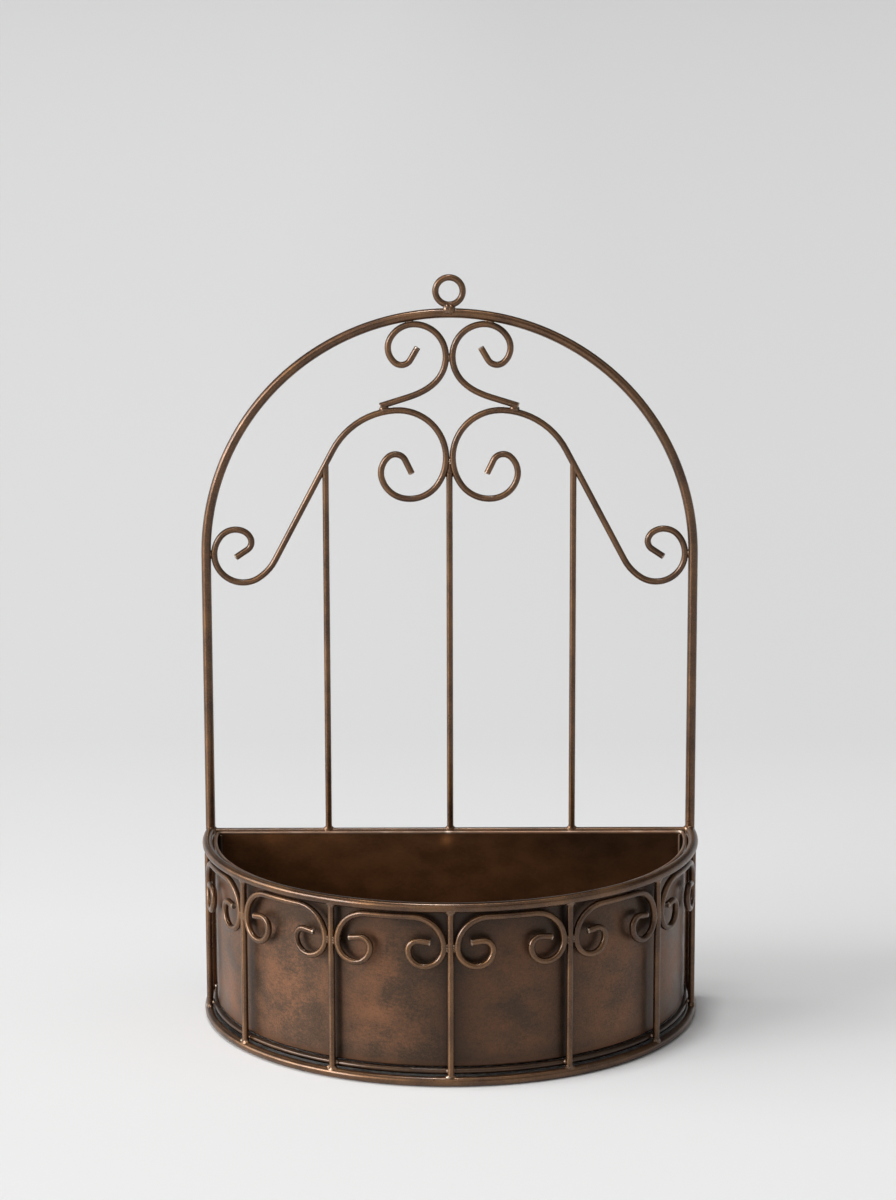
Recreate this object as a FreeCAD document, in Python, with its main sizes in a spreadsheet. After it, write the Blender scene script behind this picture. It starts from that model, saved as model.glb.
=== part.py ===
import FreeCAD, Part
import math
import os
import Sketcher
from FreeCAD import Placement, Rotation, Vector

# Half-round wall planter in millimetres. +Z is up and the floor is Z = 0. X = 0 is the plane of
# symmetry. The basket bulges towards -Y, and the trellis stands at the back. Sub-parts are drawn
# with the trellis in the XZ plane, and all are then set back by the same distance, so that the
# origin lies under the middle of the whole planter.

doc = FreeCAD.newDocument("wall_planter")

# ---------------------------------------------------------------------------------------------
# Driving dimensions
# ---------------------------------------------------------------------------------------------
DRIVING_SIZES = [
    # rods and seats
    ("heavy_rod", 6.0, "diameter of the arch, rim and base rod"),
    ("light_rod", 4.0, "diameter of every other rod"),
    ("seat_gap", 0.08, "gap left where one rod is seated on another"),
    ("bent_sides", 8, "flats round a bent rod"),
    ("straight_sides", 12, "flats round a straight rod"),
    # trellis
    ("leg_spacing", 300.0, "between the centre lines of the two legs"),
    ("spring_height", 285.0, "height at which the legs turn into the round arch"),
    ("spindle_spacing", 76.0, "between neighbouring spindles"),
    ("ring_bore", 12.6, "bore of the hanging ring"),
    ("ring_weld_width", 8.0, "weld lump under the hanging ring"),
    ("ring_weld_height", 7.0, "weld lump under the hanging ring"),
    # basket
    ("basket_offset", 15.5, "centre of the round basket, in front of the trellis"),
    ("rim_height", 109.2, "height of the rim rod's centre line"),
    ("upright_pitch", 27.7, "degrees between neighbouring uprights"),
    ("support_clearance", 6.0, "floor to the underside of the support ring"),
    # liner
    ("liner_sheet", 1.0, "sheet thickness of the liner"),
    ("liner_rise", 0.9, "top of the liner's hem above the rim rod's centre line"),
    ("hem_height", 2.0, "height of the rolled hem"),
    ("hem_lip", 0.6, "how far the hem stands out from the wall on each side"),
    ("hem_chamfer", 0.5, "rounding of the hem's upper edges"),
    ("rim_clearance", 1.3, "between the hem and the rim rod"),
    ("back_clearance", 0.4, "between the liner's back and the front of the legs"),
    ("floor_clearance", 0.1, "between the liner's floor and the support ring"),
    ("sheet_fit", 0.05, "gap between the liner's floor and its walls"),
    ("drain_hole", 6.0, "diameter of a drain hole"),
    ("drain_spacing", 80.0, "between neighbouring drain holes"),
    # both kinds of trellis scroll
    ("scroll_scale", 1.0, "multiplies every size in the next two groups"),
    # long scroll: its contact with the leg, then the radii from the middle outwards
    ("curl_rise", 0.7, "from the springing of the arch to where a long scroll touches its leg"),
    ("volute_radius", 29.4, "big loop"),
    ("volute_second", 21.0, "first turn inside the big loop"),
    ("volute_third", 17.0, "second turn inside the big loop"),
    ("volute_fourth", 13.2, "third turn inside the big loop"),
    ("volute_eye", 6.7, "innermost turn of the big loop"),
    ("volute_tip", 9.2, "straight end inside the big loop"),
    ("shoulder_radius", 46.4, "shoulder between the big loop and the straight run"),
    ("curl_entry", 29.7, "turn from the straight run into the curl"),
    ("curl_radius", 17.6, "curl beside the leg"),
    ("curl_second", 11.9, "first turn inside the curl"),
    ("curl_third", 8.6, "second turn inside the curl"),
    ("curl_eye", 5.9, "innermost turn of the curl"),
    ("curl_tip", 8.7, "straight end inside the curl"),
    # upper scroll
    ("crown_radius", 22.2, "loop beside the other upper scroll"),
    ("crown_top", 19.5, "top of the loop"),
    ("crown_side", 16.5, "turn under the arch"),
    ("crown_third", 12.0, "second turn inside the loop"),
    ("crown_eye", 6.3, "innermost turn"),
    ("crown_tip", 8.9, "straight end inside the loop"),
    ("tail_bend", 30.5, "turn from the loop into the tail"),
    ("tail_sweep", 57.0, "flat turn of the tail"),
    ("tail_run", 18.0, "straight end of the tail, which lies on the long scroll"),
    # basket scroll
    ("scroll_drop", 0.9, "between the rim rod and a basket scroll"),
    ("scroll_shoulder", 18.5, "quarter turn beside the upright, upper half"),
    ("scroll_side", 11.5, "quarter turn beside the upright, lower half"),
    ("scroll_bottom", 9.5, "quarter turn at the bottom of the curl"),
    ("scroll_eye", 6.0, "innermost turn"),
    ("scroll_tip", 6.5, "straight end inside the curl"),
]

sheet = doc.addObject("Spreadsheet::Sheet", "sizes")
for row, (alias, size, meaning) in enumerate(DRIVING_SIZES, start=1):
    sheet.set("A%d" % row, alias)
    sheet.set("B%d" % row, str(size))
    sheet.set("C%d" % row, meaning)
    sheet.setAlias("B%d" % row, alias)
doc.recompute()


def size(alias):
    return float(sheet.get(alias))


# ---------------------------------------------------------------------------------------------
# Sizes worked out from the driving dimensions
# ---------------------------------------------------------------------------------------------
HEAVY_RADIUS = size("heavy_rod") / 2
LIGHT_RADIUS = size("light_rod") / 2
GAP = size("seat_gap")
LEG_X = size("leg_spacing") / 2
BASKET_Y = -size("basket_offset")
# the basket's hoops run through the centre lines of both legs
BASKET_RADIUS = math.hypot(LEG_X, BASKET_Y)
SUPPORT_RADIUS = BASKET_RADIUS - size("light_rod") - GAP
SUPPORT_HEIGHT = size("support_clearance") + LIGHT_RADIUS
TURN_STEP = 22.5  # most degrees of a bend between two facets of a light rod
TURN_SAG = 0.3  # most that a facet may stray from the true bend
AXIS_LENGTH = 10.0  # of the line that a hoop is bent about
UPRIGHTS = 7
RING_FACETS = 20
WELD_SIDES = 8  # of the weld lump under the ring
WELD_SINK = 0.62  # of the weld lump's height, below the top of the arch
WELD_WRAP = 0.4  # of the heavy rod, from the arch's centre line to the back of the weld lump
DRAIN_REACH = 0.42  # of the basket's radius, from its centre forward to the drain holes

# from the middle of the planter's depth back to the trellis
SETBACK = (size("basket_offset") + BASKET_RADIUS) / 2

# the same sizes as expressions of the sheet's cells
BASKET_RADIUS_CELL = "sqrt((sizes.leg_spacing / 2)^2 + sizes.basket_offset^2)"
SETBACK_CELL = "(sizes.basket_offset + %s) / 2" % BASKET_RADIUS_CELL
# half the angle between the legs, seen from the middle of the basket, front side
LEG_ANGLE_CELL = "(90 deg + atan(sizes.basket_offset / (sizes.leg_spacing / 2)))"
HEM_RADIUS_CELL = "(%s - sizes.heavy_rod / 2 - sizes.rim_clearance)" % BASKET_RADIUS_CELL
WALL_RADIUS_CELL = "(%s - sizes.hem_lip)" % HEM_RADIUS_CELL
LINER_BOTTOM_CELL = "(sizes.support_clearance + sizes.light_rod + sizes.floor_clearance)"
HEM_BOTTOM_CELL = "(sizes.rim_height + sizes.liner_rise - sizes.hem_height)"
LINER_BACK_CELL = "(-sizes.heavy_rod / 2 - sizes.back_clearance - sizes.hem_lip)"
UPRIGHT_HEIGHT_CELL = "sizes.rim_height - sizes.heavy_rod * 1.5 - 2 * sizes.seat_gap"

nodes = []


def keep(feature, label):
    """List a finished sub-part under the name of its file."""
    feature.Label = label
    nodes.append(feature)
    return feature


def add_body(label):
    body = doc.addObject("PartDesign::Body", label)
    body.setExpression("Placement.Base.y", SETBACK_CELL)
    return body


# ---------------------------------------------------------------------------------------------
# Sketch and body helpers
# ---------------------------------------------------------------------------------------------
def origin_plane(body, role):
    return next(f for f in body.Origin.OriginFeatures if f.Role == role)


def add_sketch(body, name, role, offset_cell=None):
    """A sketch on one of the body's own origin planes, lifted off it by a cell."""
    sketch = body.newObject("Sketcher::SketchObject", name)
    sketch.AttachmentSupport = [(origin_plane(body, role), "")]
    sketch.MapMode = "FlatFace"
    if offset_cell:
        sketch.setExpression("AttachmentOffset.Base.z", offset_cell)
    return sketch


def bind(sketch, kind, where, value, cell):
    """A dimension of the sketch that follows a cell."""
    index = sketch.addConstraint(Sketcher.Constraint(kind, *where, value))
    sketch.setExpression("Constraints[%d]" % index, cell)


def add_rod_section(sketch, x, y, x_cell, y_cell, across, across_cell):
    """A regular polygon, with one flat facing +X, whose width over the flats is the rod's."""
    sides = int(size("bent_sides"))
    corner = across / 2 / math.cos(math.pi / sides)
    at = [
        Vector(
            x + corner * math.cos(math.pi * (2 * k - 1) / sides),
            y + corner * math.sin(math.pi * (2 * k - 1) / sides),
            0,
        )
        for k in range(sides)
    ]
    lines = [
        sketch.addGeometry(Part.LineSegment(at[k], at[(k + 1) % sides])) for k in range(sides)
    ]
    inscribed = sketch.addGeometry(Part.Circle(Vector(x, y, 0), Vector(0, 0, 1), across / 2), True)
    for k in range(sides):
        sketch.addConstraint(Sketcher.Constraint("Coincident", lines[k], 2, lines[(k + 1) % sides], 1))
    for k in range(1, sides):
        sketch.addConstraint(Sketcher.Constraint("Equal", lines[0], lines[k]))
    for k in (0, 1, sides // 2):
        sketch.addConstraint(Sketcher.Constraint("Tangent", lines[k], inscribed))
    sketch.addConstraint(Sketcher.Constraint("Vertical", lines[0]))
    bind(sketch, "Diameter", (inscribed,), across, across_cell)
    bind(sketch, "DistanceX", (-1, 1, inscribed, 3), x, x_cell)
    bind(sketch, "DistanceY", (-1, 1, inscribed, 3), y, y_cell)


def add_hoop(label, rod, radius, height, radius_cell, height_cell, angle_cell):
    """A bent rod on a circle about the basket's axis, the same to both sides of the front."""
    body = add_body(label)
    sketch = add_sketch(body, label + "_section", "YZ_Plane")
    foot = Vector(BASKET_Y, 0, 0)
    axis = sketch.addGeometry(Part.LineSegment(foot, foot + Vector(0, AXIS_LENGTH, 0)), True)
    sketch.addConstraint(Sketcher.Constraint("Vertical", axis))
    sketch.addConstraint(Sketcher.Constraint("PointOnObject", axis, 1, -1))
    sketch.addConstraint(Sketcher.Constraint("DistanceY", axis, 1, axis, 2, AXIS_LENGTH))
    bind(sketch, "DistanceX", (-1, 1, axis, 1), BASKET_Y, "-sizes.basket_offset")
    add_rod_section(
        sketch,
        BASKET_Y - radius,
        height,
        "-sizes.basket_offset - %s" % radius_cell,
        height_cell,
        size(rod),
        "sizes." + rod,
    )
    sweep = body.newObject("PartDesign::Revolution", label + "_bend")
    sweep.Profile = sketch
    sweep.ReferenceAxis = (sketch, ["Axis0"])
    sweep.Midplane = True
    sweep.setExpression("Angle", angle_cell)
    return keep(body, label)


def add_straight_rod(label, length_cell, base_cells, turn=Rotation()):
    """A straight light rod with narrow flats; base_cells place the centre of its first end."""
    rod = doc.addObject("Part::Prism", label)
    # half a flat of turn sets one flat square to the front
    half_flat = Rotation(Vector(0, 0, 1), 180 / size("straight_sides"))
    rod.Placement = Placement(Vector(), turn * half_flat)
    rod.setExpression("Polygon", "sizes.straight_sides")
    rod.setExpression("Circumradius", "sizes.light_rod / 2 / cos(180 deg / sizes.straight_sides)")
    rod.setExpression("Height", length_cell)
    x_cell, y_cell, z_cell = base_cells
    rod.setExpression("Placement.Base.x", x_cell)
    rod.setExpression("Placement.Base.y", "%s + (%s)" % (SETBACK_CELL, y_cell))
    rod.setExpression("Placement.Base.z", z_cell)
    return rod


# ---------------------------------------------------------------------------------------------
# Bent light rods: a path of tangent straights and arcs, and a rod of flat facets along it
# ---------------------------------------------------------------------------------------------
def heading(degrees):
    return Vector(math.cos(math.radians(degrees)), math.sin(math.radians(degrees)), 0)


def left_of(degrees):
    return heading(degrees + 90)


def walk(start, degrees, steps):
    """Points of a path of tangent pieces: (length,) runs straight, (radius, turn) bends left,
    or right where the turn is negative. Returns the points and the last heading."""
    points = [start]
    for step in steps:
        if len(step) == 1:
            points.append(points[-1] + heading(degrees) * step[0])
            continue
        radius, turn = step
        side = 1 if turn > 0 else -1
        centre = points[-1] + left_of(degrees) * radius * side
        sag_step = 2 * math.degrees(math.acos(1 - TURN_SAG / radius))
        pieces = max(1, math.ceil(abs(turn) / min(TURN_STEP, sag_step)))
        for k in range(1, pieces + 1):
            points.append(centre - left_of(degrees + turn * k / pieces) * radius * side)
        degrees += turn
    return points, degrees


def faceted_rod(points, across, normal, closed=False):
    """A closed solid of flat facets along the points, mitred at each of them. One flat faces
    the normal, and the width over the flats is the rod's diameter."""
    sides = int(size("bent_sides"))
    count = len(points)
    runs = [(points[(k + 1) % count] - points[k]).normalize() for k in range(count)]
    if not closed:
        runs = runs[:-1]
    corner = across / 2 / math.cos(math.pi / sides)
    side_way = runs[0].cross(normal).normalize()
    up_way = side_way.cross(runs[0])
    angles = [math.pi * (2 * k - 1) / sides for k in range(sides)]
    ring = [
        points[0] + up_way * corner * math.cos(a) + side_way * corner * math.sin(a) for a in angles
    ]

    def slide(vertices, along, point, plane_normal):
        return [
            v + along * ((point - v).dot(plane_normal) / along.dot(plane_normal)) for v in vertices
        ]

    rings = []
    for k, point in enumerate(points):
        if closed:
            before, after = runs[k - 1], runs[k]
        else:
            before, after = runs[max(k - 1, 0)], runs[min(k, len(runs) - 1)]
        ring = slide(ring, before if k else runs[0], point, before + after)
        rings.append(ring)
    if closed:
        rings.append(rings[0])
    faces = []
    for first, second in zip(rings, rings[1:]):
        for k in range(sides):
            n = (k + 1) % sides
            corners = [first[k], first[n], second[n], second[k], first[k]]
            faces.append(Part.Face(Part.makePolygon(corners)))
    if not closed:
        for end in (rings[0], rings[-1]):
            faces.append(Part.Face(Part.makePolygon(end + [end[0]])))
    solid = Part.Solid(Part.Shell(faces))
    if solid.Volume < 0:
        solid.reverse()
    return solid


def upright_plane(points):
    """Path points, drawn as X and Y, set up in the XZ plane of the trellis."""
    return [Vector(p.x, 0, p.y) for p in points]


def mirrored(points):
    return [Vector(-p.x, p.y, p.z) for p in points]


def add_bent_rod(label, points, normal, closed=False):
    feature = doc.addObject("Part::Feature", label)
    feature.Shape = faceted_rod(points, size("light_rod"), normal, closed)
    feature.Placement = Placement(Vector(0, SETBACK, 0), Rotation())
    return keep(feature, label)


# ---------------------------------------------------------------------------------------------
# Arch hoop: two legs and a half circle bent from one heavy rod
# ---------------------------------------------------------------------------------------------
def build_arch_hoop():
    body = add_body("arch_hoop")
    section = add_sketch(body, "arch_section", "XY_Plane")
    add_rod_section(
        section,
        -LEG_X,
        0,
        "-sizes.leg_spacing / 2",
        "0",
        size("heavy_rod"),
        "sizes.heavy_rod",
    )
    path = add_sketch(body, "arch_path", "XZ_Plane")
    spring = size("spring_height")
    corners = [(-LEG_X, 0), (-LEG_X, spring), (LEG_X, spring), (LEG_X, 0)]
    foot, shoulder, far_shoulder, far_foot = [Vector(x, z, 0) for x, z in corners]
    leg = path.addGeometry(Part.LineSegment(foot, shoulder))
    crown = path.addGeometry(Part.Arc(shoulder, Vector(0, spring + LEG_X, 0), far_shoulder))
    far_leg = path.addGeometry(Part.LineSegment(far_shoulder, far_foot))
    # the arc runs anticlockwise, so it starts at the far leg
    path.addConstraint(Sketcher.Constraint("Tangent", leg, 2, crown, 2))
    path.addConstraint(Sketcher.Constraint("Tangent", far_leg, 1, crown, 1))
    path.addConstraint(Sketcher.Constraint("Vertical", leg))
    path.addConstraint(Sketcher.Constraint("Vertical", far_leg))
    path.addConstraint(Sketcher.Constraint("Horizontal", leg, 1, far_leg, 2))
    bind(path, "DistanceX", (-1, 1, leg, 1), -LEG_X, "-sizes.leg_spacing / 2")
    bind(path, "DistanceY", (-1, 1, leg, 1), 0, "0")
    bind(path, "DistanceX", (-1, 1, far_leg, 2), LEG_X, "sizes.leg_spacing / 2")
    bind(path, "DistanceY", (leg, 1, leg, 2), spring, "sizes.spring_height")
    bend = body.newObject("PartDesign::AdditivePipe", "arch_bend")
    bend.Profile = section
    bend.Spine = (path, [])
    keep(body, "arch_hoop")


# ---------------------------------------------------------------------------------------------
# Hanging ring and its weld
# ---------------------------------------------------------------------------------------------
ARCH_TOP_CELL = "sizes.spring_height + sizes.leg_spacing / 2 + sizes.heavy_rod / 2"
RING_RADIUS = size("ring_bore") / 2 + LIGHT_RADIUS
ARCH_TOP = size("spring_height") + LEG_X + HEAVY_RADIUS
RING_HEIGHT = ARCH_TOP + GAP + RING_RADIUS + LIGHT_RADIUS


def build_hanging_ring():
    half = 180.0 / RING_FACETS
    # the lowest point lies on a flat of the ring's outline, so the ring sits on the arch
    outline = RING_RADIUS / math.cos(math.radians(half))
    points = [
        Vector(
            outline * math.cos(math.radians(2 * half * k + half)),
            0,
            RING_HEIGHT + outline * math.sin(math.radians(2 * half * k + half)),
        )
        for k in range(RING_FACETS)
    ]
    return add_bent_rod("hanging_ring", points, Vector(0, 1, 0), closed=True)


def build_ring_weld(ring):
    """A lump of weld between the ring and the arch, hollowed where the two rods lie in it. It
    wraps the front of the arch and stays clear of its back, so the planter hangs flat."""
    foot_cell = "%s - sizes.ring_weld_height * %g" % (ARCH_TOP_CELL, WELD_SINK)
    block = doc.addObject("Part::Prism", "ring_weld_block")
    block.Polygon = WELD_SIDES
    block.Placement = Placement(Vector(), Rotation(Vector(0, 0, 1), 180 / WELD_SIDES))
    block.setExpression("Circumradius", "sizes.ring_weld_width / 2")
    block.setExpression("Height", "sizes.ring_weld_height")
    block.setExpression("Placement.Base.y", SETBACK_CELL)
    block.setExpression("Placement.Base.z", foot_cell)
    room = doc.addObject("Part::Box", "ring_weld_room")
    room.setExpression("Length", "sizes.ring_weld_width")
    depth_cell = "sizes.ring_weld_width / 2 + sizes.heavy_rod * %g" % WELD_WRAP
    room.setExpression("Width", depth_cell)
    room.setExpression("Height", "sizes.ring_weld_height")
    room.setExpression("Placement.Base.x", "-sizes.ring_weld_width / 2")
    room.setExpression("Placement.Base.y", "%s - sizes.ring_weld_width / 2" % SETBACK_CELL)
    room.setExpression("Placement.Base.z", foot_cell)
    lump = doc.addObject("Part::Common", "ring_weld_lump")
    lump.Base = block
    lump.Tool = room
    # over the width of the lump the arch runs straight
    bed = doc.addObject("Part::Cylinder", "ring_weld_bed")
    bed.Placement = Placement(Vector(), Rotation(Vector(0, 0, 1), Vector(1, 0, 0)))
    corner_cell = "sizes.heavy_rod / 2 / cos(180 deg / sizes.bent_sides)"
    bed.setExpression("Radius", "%s + sizes.seat_gap" % corner_cell)
    bed.setExpression("Height", "sizes.ring_weld_width * 2")
    bed.setExpression("Placement.Base.x", "-sizes.ring_weld_width")
    bed.setExpression("Placement.Base.y", SETBACK_CELL)
    bed.setExpression("Placement.Base.z", "sizes.spring_height + sizes.leg_spacing / 2")
    saddle = doc.addObject("Part::Cut", "ring_weld_saddle")
    saddle.Base = lump
    saddle.Tool = bed
    weld = doc.addObject("Part::Cut", "ring_weld")
    weld.Base = saddle
    weld.Tool = ring
    keep(weld, "ring_weld")


# ---------------------------------------------------------------------------------------------
# Trellis scrolls
# ---------------------------------------------------------------------------------------------
TWIN_X = -(LIGHT_RADIUS + GAP / 2)  # centre line of a left scroll where it touches the right one
CURL_X = -(LEG_X - HEAVY_RADIUS - GAP - LIGHT_RADIUS)  # where a long scroll touches its leg
VOLUTE_TURN = 93.2  # from the twin contact to the shoulder
CURL_ENTRY_TURN = 29.8
RUN_LIMITS = (215.0, 268.0)  # headings between which the long scroll's straight run lies
BISECTIONS = 60
# the trellis scrolls grow with the arch that they fill
DRAWN_LEG_SPACING = 300.0
SCROLL_SCALE = size("scroll_scale") * size("leg_spacing") / DRAWN_LEG_SPACING
CURL_HEIGHT = size("spring_height") + size("curl_rise") * SCROLL_SCALE


def scroll_size(alias):
    return size(alias) * SCROLL_SCALE


def crown_turns():
    """From the upper scroll's widest point up to where it touches the arch, and on inwards."""
    return [
        (scroll_size("crown_radius"), 9.6),
        (scroll_size("crown_top"), 77.1),
        (scroll_size("crown_side"), 65.7),
        (scroll_size("crown_third"), 76.3),
        (scroll_size("crown_eye"), 101.0),
        (scroll_size("crown_tip"),),
    ]


def crown_height():
    """Height of the upper scroll's widest point, such that its side turn touches the arch."""
    points, degrees = walk(Vector(TWIN_X, 0, 0), 90, crown_turns()[:2])
    side_turn = points[-1] + left_of(degrees) * scroll_size("crown_side")
    room = LEG_X - HEAVY_RADIUS - GAP - LIGHT_RADIUS - scroll_size("crown_side")
    return size("spring_height") + math.sqrt(room**2 - side_turn.x**2) - side_turn.y


CROWN_WIDEST = Vector(TWIN_X, crown_height(), 0)


def upper_scroll_tail():
    """From the upper scroll's widest point down to the end that lies on the long scroll."""
    turns = [
        (scroll_size("crown_radius"), -45.0),
        (scroll_size("tail_bend"), -17.6),
        (scroll_size("tail_sweep"), -10.0),
        (scroll_size("tail_run"),),
    ]
    points, _ = walk(CROWN_WIDEST, 270, turns)
    return points


def upper_scroll_points():
    """The left upper scroll, from the end of its tail to the tip inside its loop."""
    loop, _ = walk(CROWN_WIDEST, 90, crown_turns())
    return list(reversed(upper_scroll_tail())) + loop[1:]


def shoulder_centre(contact):
    """Centre of the long scroll's shoulder, for this place of its contact with its twin."""
    way_in = left_of(90 + VOLUTE_TURN)
    loop_centre = contact - Vector(scroll_size("volute_radius"), 0, 0)
    return loop_centre + way_in * (scroll_size("shoulder_radius") - scroll_size("volute_radius"))


def volute_contact():
    """Where the two long scrolls touch: so high that the upper scroll's tail lies on the
    shoulder."""
    low = Vector(TWIN_X, 0, 0)
    away = upper_scroll_tail()[-1] - shoulder_centre(low)
    seat = scroll_size("shoulder_radius") + 2 * LIGHT_RADIUS + GAP
    return low + Vector(0, away.y - math.sqrt(seat**2 - away.x**2), 0)


VOLUTE_CONTACT = volute_contact()


def straight_run(degrees):
    """Ends of the long scroll's straight run, were it to point along this heading."""
    start = shoulder_centre(VOLUTE_CONTACT) - left_of(degrees) * scroll_size("shoulder_radius")
    curl_centre = Vector(CURL_X + scroll_size("curl_radius"), CURL_HEIGHT, 0)
    entry = degrees - CURL_ENTRY_TURN
    joint = curl_centre + left_of(entry) * scroll_size("curl_radius")
    entry_centre = joint - left_of(entry) * scroll_size("curl_entry")
    end = entry_centre + left_of(degrees) * scroll_size("curl_entry")
    return start, end


def run_heading():
    """The heading at which the straight run is tangent to the shoulder and to the curl."""

    def miss(degrees):
        start, end = straight_run(degrees)
        return (end - start).dot(left_of(degrees))

    low, high = RUN_LIMITS
    for _ in range(BISECTIONS):
        middle = (low + high) / 2
        if miss(low) * miss(middle) > 0:
            low = middle
        else:
            high = middle
    return (low + high) / 2


RUN_HEADING = run_heading()


def long_scroll_loop():
    """The left long scroll from its contact with its twin to the tip inside its big loop."""
    turns = [
        (scroll_size("volute_radius"), -33.2),
        (scroll_size("volute_second"), -66.9),
        (scroll_size("volute_third"), -66.0),
        (scroll_size("volute_fourth"), -62.7),
        (scroll_size("volute_eye"), -105.5),
        (scroll_size("volute_tip"),),
    ]
    points, _ = walk(VOLUTE_CONTACT, 270, turns)
    return points


def long_scroll_arm():
    """The left long scroll from its contact with its twin out to the tip beside the leg."""
    start, end = straight_run(RUN_HEADING)
    turns = [
        (scroll_size("volute_radius"), VOLUTE_TURN),
        (scroll_size("shoulder_radius"), RUN_HEADING - 90 - VOLUTE_TURN),
        ((end - start).Length,),
        (scroll_size("curl_entry"), -CURL_ENTRY_TURN),
        (scroll_size("curl_radius"), 90 - RUN_HEADING + CURL_ENTRY_TURN),
        (scroll_size("curl_radius"), -40.8),
        (scroll_size("curl_second"), -73.3),
        (scroll_size("curl_third"), -41.8),
        (scroll_size("curl_eye"), -80.3),
        (scroll_size("curl_tip"),),
    ]
    points, _ = walk(VOLUTE_CONTACT, 90, turns)
    return points


def long_scroll_points():
    return list(reversed(long_scroll_loop())) + long_scroll_arm()[1:]


def build_trellis_scrolls():
    for name, points in (
        ("long_scroll", upright_plane(long_scroll_points())),
        ("upper_scroll", upright_plane(upper_scroll_points())),
    ):
        add_bent_rod(name + "_left", points, Vector(0, 1, 0))
        add_bent_rod(name + "_right", mirrored(points), Vector(0, 1, 0))


# ---------------------------------------------------------------------------------------------
# Spindles and rails of the trellis
# ---------------------------------------------------------------------------------------------
def build_spindles():
    foot_cell = "sizes.rim_height + sizes.light_rod / 2 + sizes.seat_gap"
    # the middle spindle reaches up between the two big loops until they hold it
    reach = math.sqrt(2 * size("light_rod") * scroll_size("volute_radius"))
    centre = add_straight_rod(
        "spindle_centre",
        "%f - 2 * sizes.seat_gap - (%s)" % (VOLUTE_CONTACT.y - reach, foot_cell),
        ("0", "0", foot_cell),
    )
    keep(centre, "spindle_centre")
    # a side spindle is cut on the slant of the long scroll that it meets
    spindle_x = scroll_size("spindle_spacing")
    arm = long_scroll_arm()
    start, end = next(run for run in zip(arm, arm[1:]) if run[0].x >= -spindle_x >= run[1].x)
    share = (-spindle_x - start.x) / (end.x - start.x)
    meeting = start + (end - start) * share
    slant = math.degrees(math.atan2(start.y - end.y, start.x - end.x))
    seat_drop = (LIGHT_RADIUS + GAP) / math.cos(math.radians(slant))
    for side, name in ((-1, "spindle_left"), (1, "spindle_right")):
        rod = add_straight_rod(
            name + "_stock",
            "%.6f - (%s)" % (meeting.y, foot_cell),
            ("%.6f" % (side * spindle_x), "0", foot_cell),
        )
        waste = doc.addObject("Part::Box", name + "_waste")
        waste.Length = waste.Width = waste.Height = 6 * size("light_rod")
        turn = Rotation(Vector(0, 1, 0), side * slant)
        seat = Vector(side * spindle_x, SETBACK, meeting.y - seat_drop)
        centre_of_face = Vector(waste.Length.Value / 2, waste.Width.Value / 2, 0)
        waste.Placement = Placement(seat - turn.multVec(centre_of_face), turn)
        cut = doc.addObject("Part::Cut", name)
        cut.Base = rod
        cut.Tool = waste
        keep(cut, name)


def build_rails():
    along_x = Rotation(Vector(0, 0, 1), Vector(1, 0, 0))
    for name, height_cell in (
        ("back_top_rail", "sizes.rim_height"),
        ("back_bottom_rail", "sizes.support_clearance + sizes.light_rod / 2"),
    ):
        rail = add_straight_rod(
            name,
            "sizes.leg_spacing - sizes.heavy_rod - 2 * sizes.seat_gap",
            ("-(sizes.leg_spacing - sizes.heavy_rod) / 2 + sizes.seat_gap", "0", height_cell),
            along_x,
        )
        keep(rail, name)


# ---------------------------------------------------------------------------------------------
# Basket
# ---------------------------------------------------------------------------------------------
def build_hoops():
    # each end of a heavy hoop stops at the front of its leg
    heavy_stop = "2 * (%s - (sizes.heavy_rod / 2 + 4 * sizes.seat_gap) / %s * 1 rad)" % (
        LEG_ANGLE_CELL,
        BASKET_RADIUS_CELL,
    )
    add_hoop(
        "front_rim_rod",
        "heavy_rod",
        BASKET_RADIUS,
        size("rim_height"),
        BASKET_RADIUS_CELL,
        "sizes.rim_height",
        heavy_stop,
    )
    add_hoop(
        "base_rod",
        "heavy_rod",
        BASKET_RADIUS,
        HEAVY_RADIUS,
        BASKET_RADIUS_CELL,
        "sizes.heavy_rod / 2",
        heavy_stop,
    )
    # the support ring lies inside the uprights, and its ends stop at the side of the legs
    support_cell = "(%s - sizes.light_rod - sizes.seat_gap)" % BASKET_RADIUS_CELL
    leg_corner_cell = "sizes.heavy_rod / 2 / cos(180 deg / sizes.bent_sides)"
    stop_cell = "sqrt((%s)^2 - (sizes.light_rod / 2 + sizes.seat_gap)^2)" % leg_corner_cell
    add_hoop(
        "liner_support_ring",
        "light_rod",
        SUPPORT_RADIUS,
        SUPPORT_HEIGHT,
        support_cell,
        "sizes.support_clearance + sizes.light_rod / 2",
        "2 * (%s - (%s + sizes.seat_gap) / %s * 1 rad)" % (LEG_ANGLE_CELL, stop_cell, support_cell),
    )


def upright_angle(number):
    """Degrees from the front of the basket to an upright, counted from the left."""
    return (number - (UPRIGHTS + 1) / 2) * size("upright_pitch")


def build_uprights():
    for number in range(1, UPRIGHTS + 1):
        steps = number - (UPRIGHTS + 1) / 2
        angle_cell = "%g * sizes.upright_pitch * 1 deg" % steps
        rod = add_straight_rod(
            "upright_%d" % number,
            UPRIGHT_HEIGHT_CELL,
            (
                "%s * sin(%s)" % (BASKET_RADIUS_CELL, angle_cell),
                "-sizes.basket_offset - %s * cos(%s)" % (BASKET_RADIUS_CELL, angle_cell),
                "sizes.heavy_rod + sizes.seat_gap",
            ),
            Rotation(Vector(0, 0, 1), upright_angle(number)),
        )
        keep(rod, "upright_%d" % number)


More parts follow.
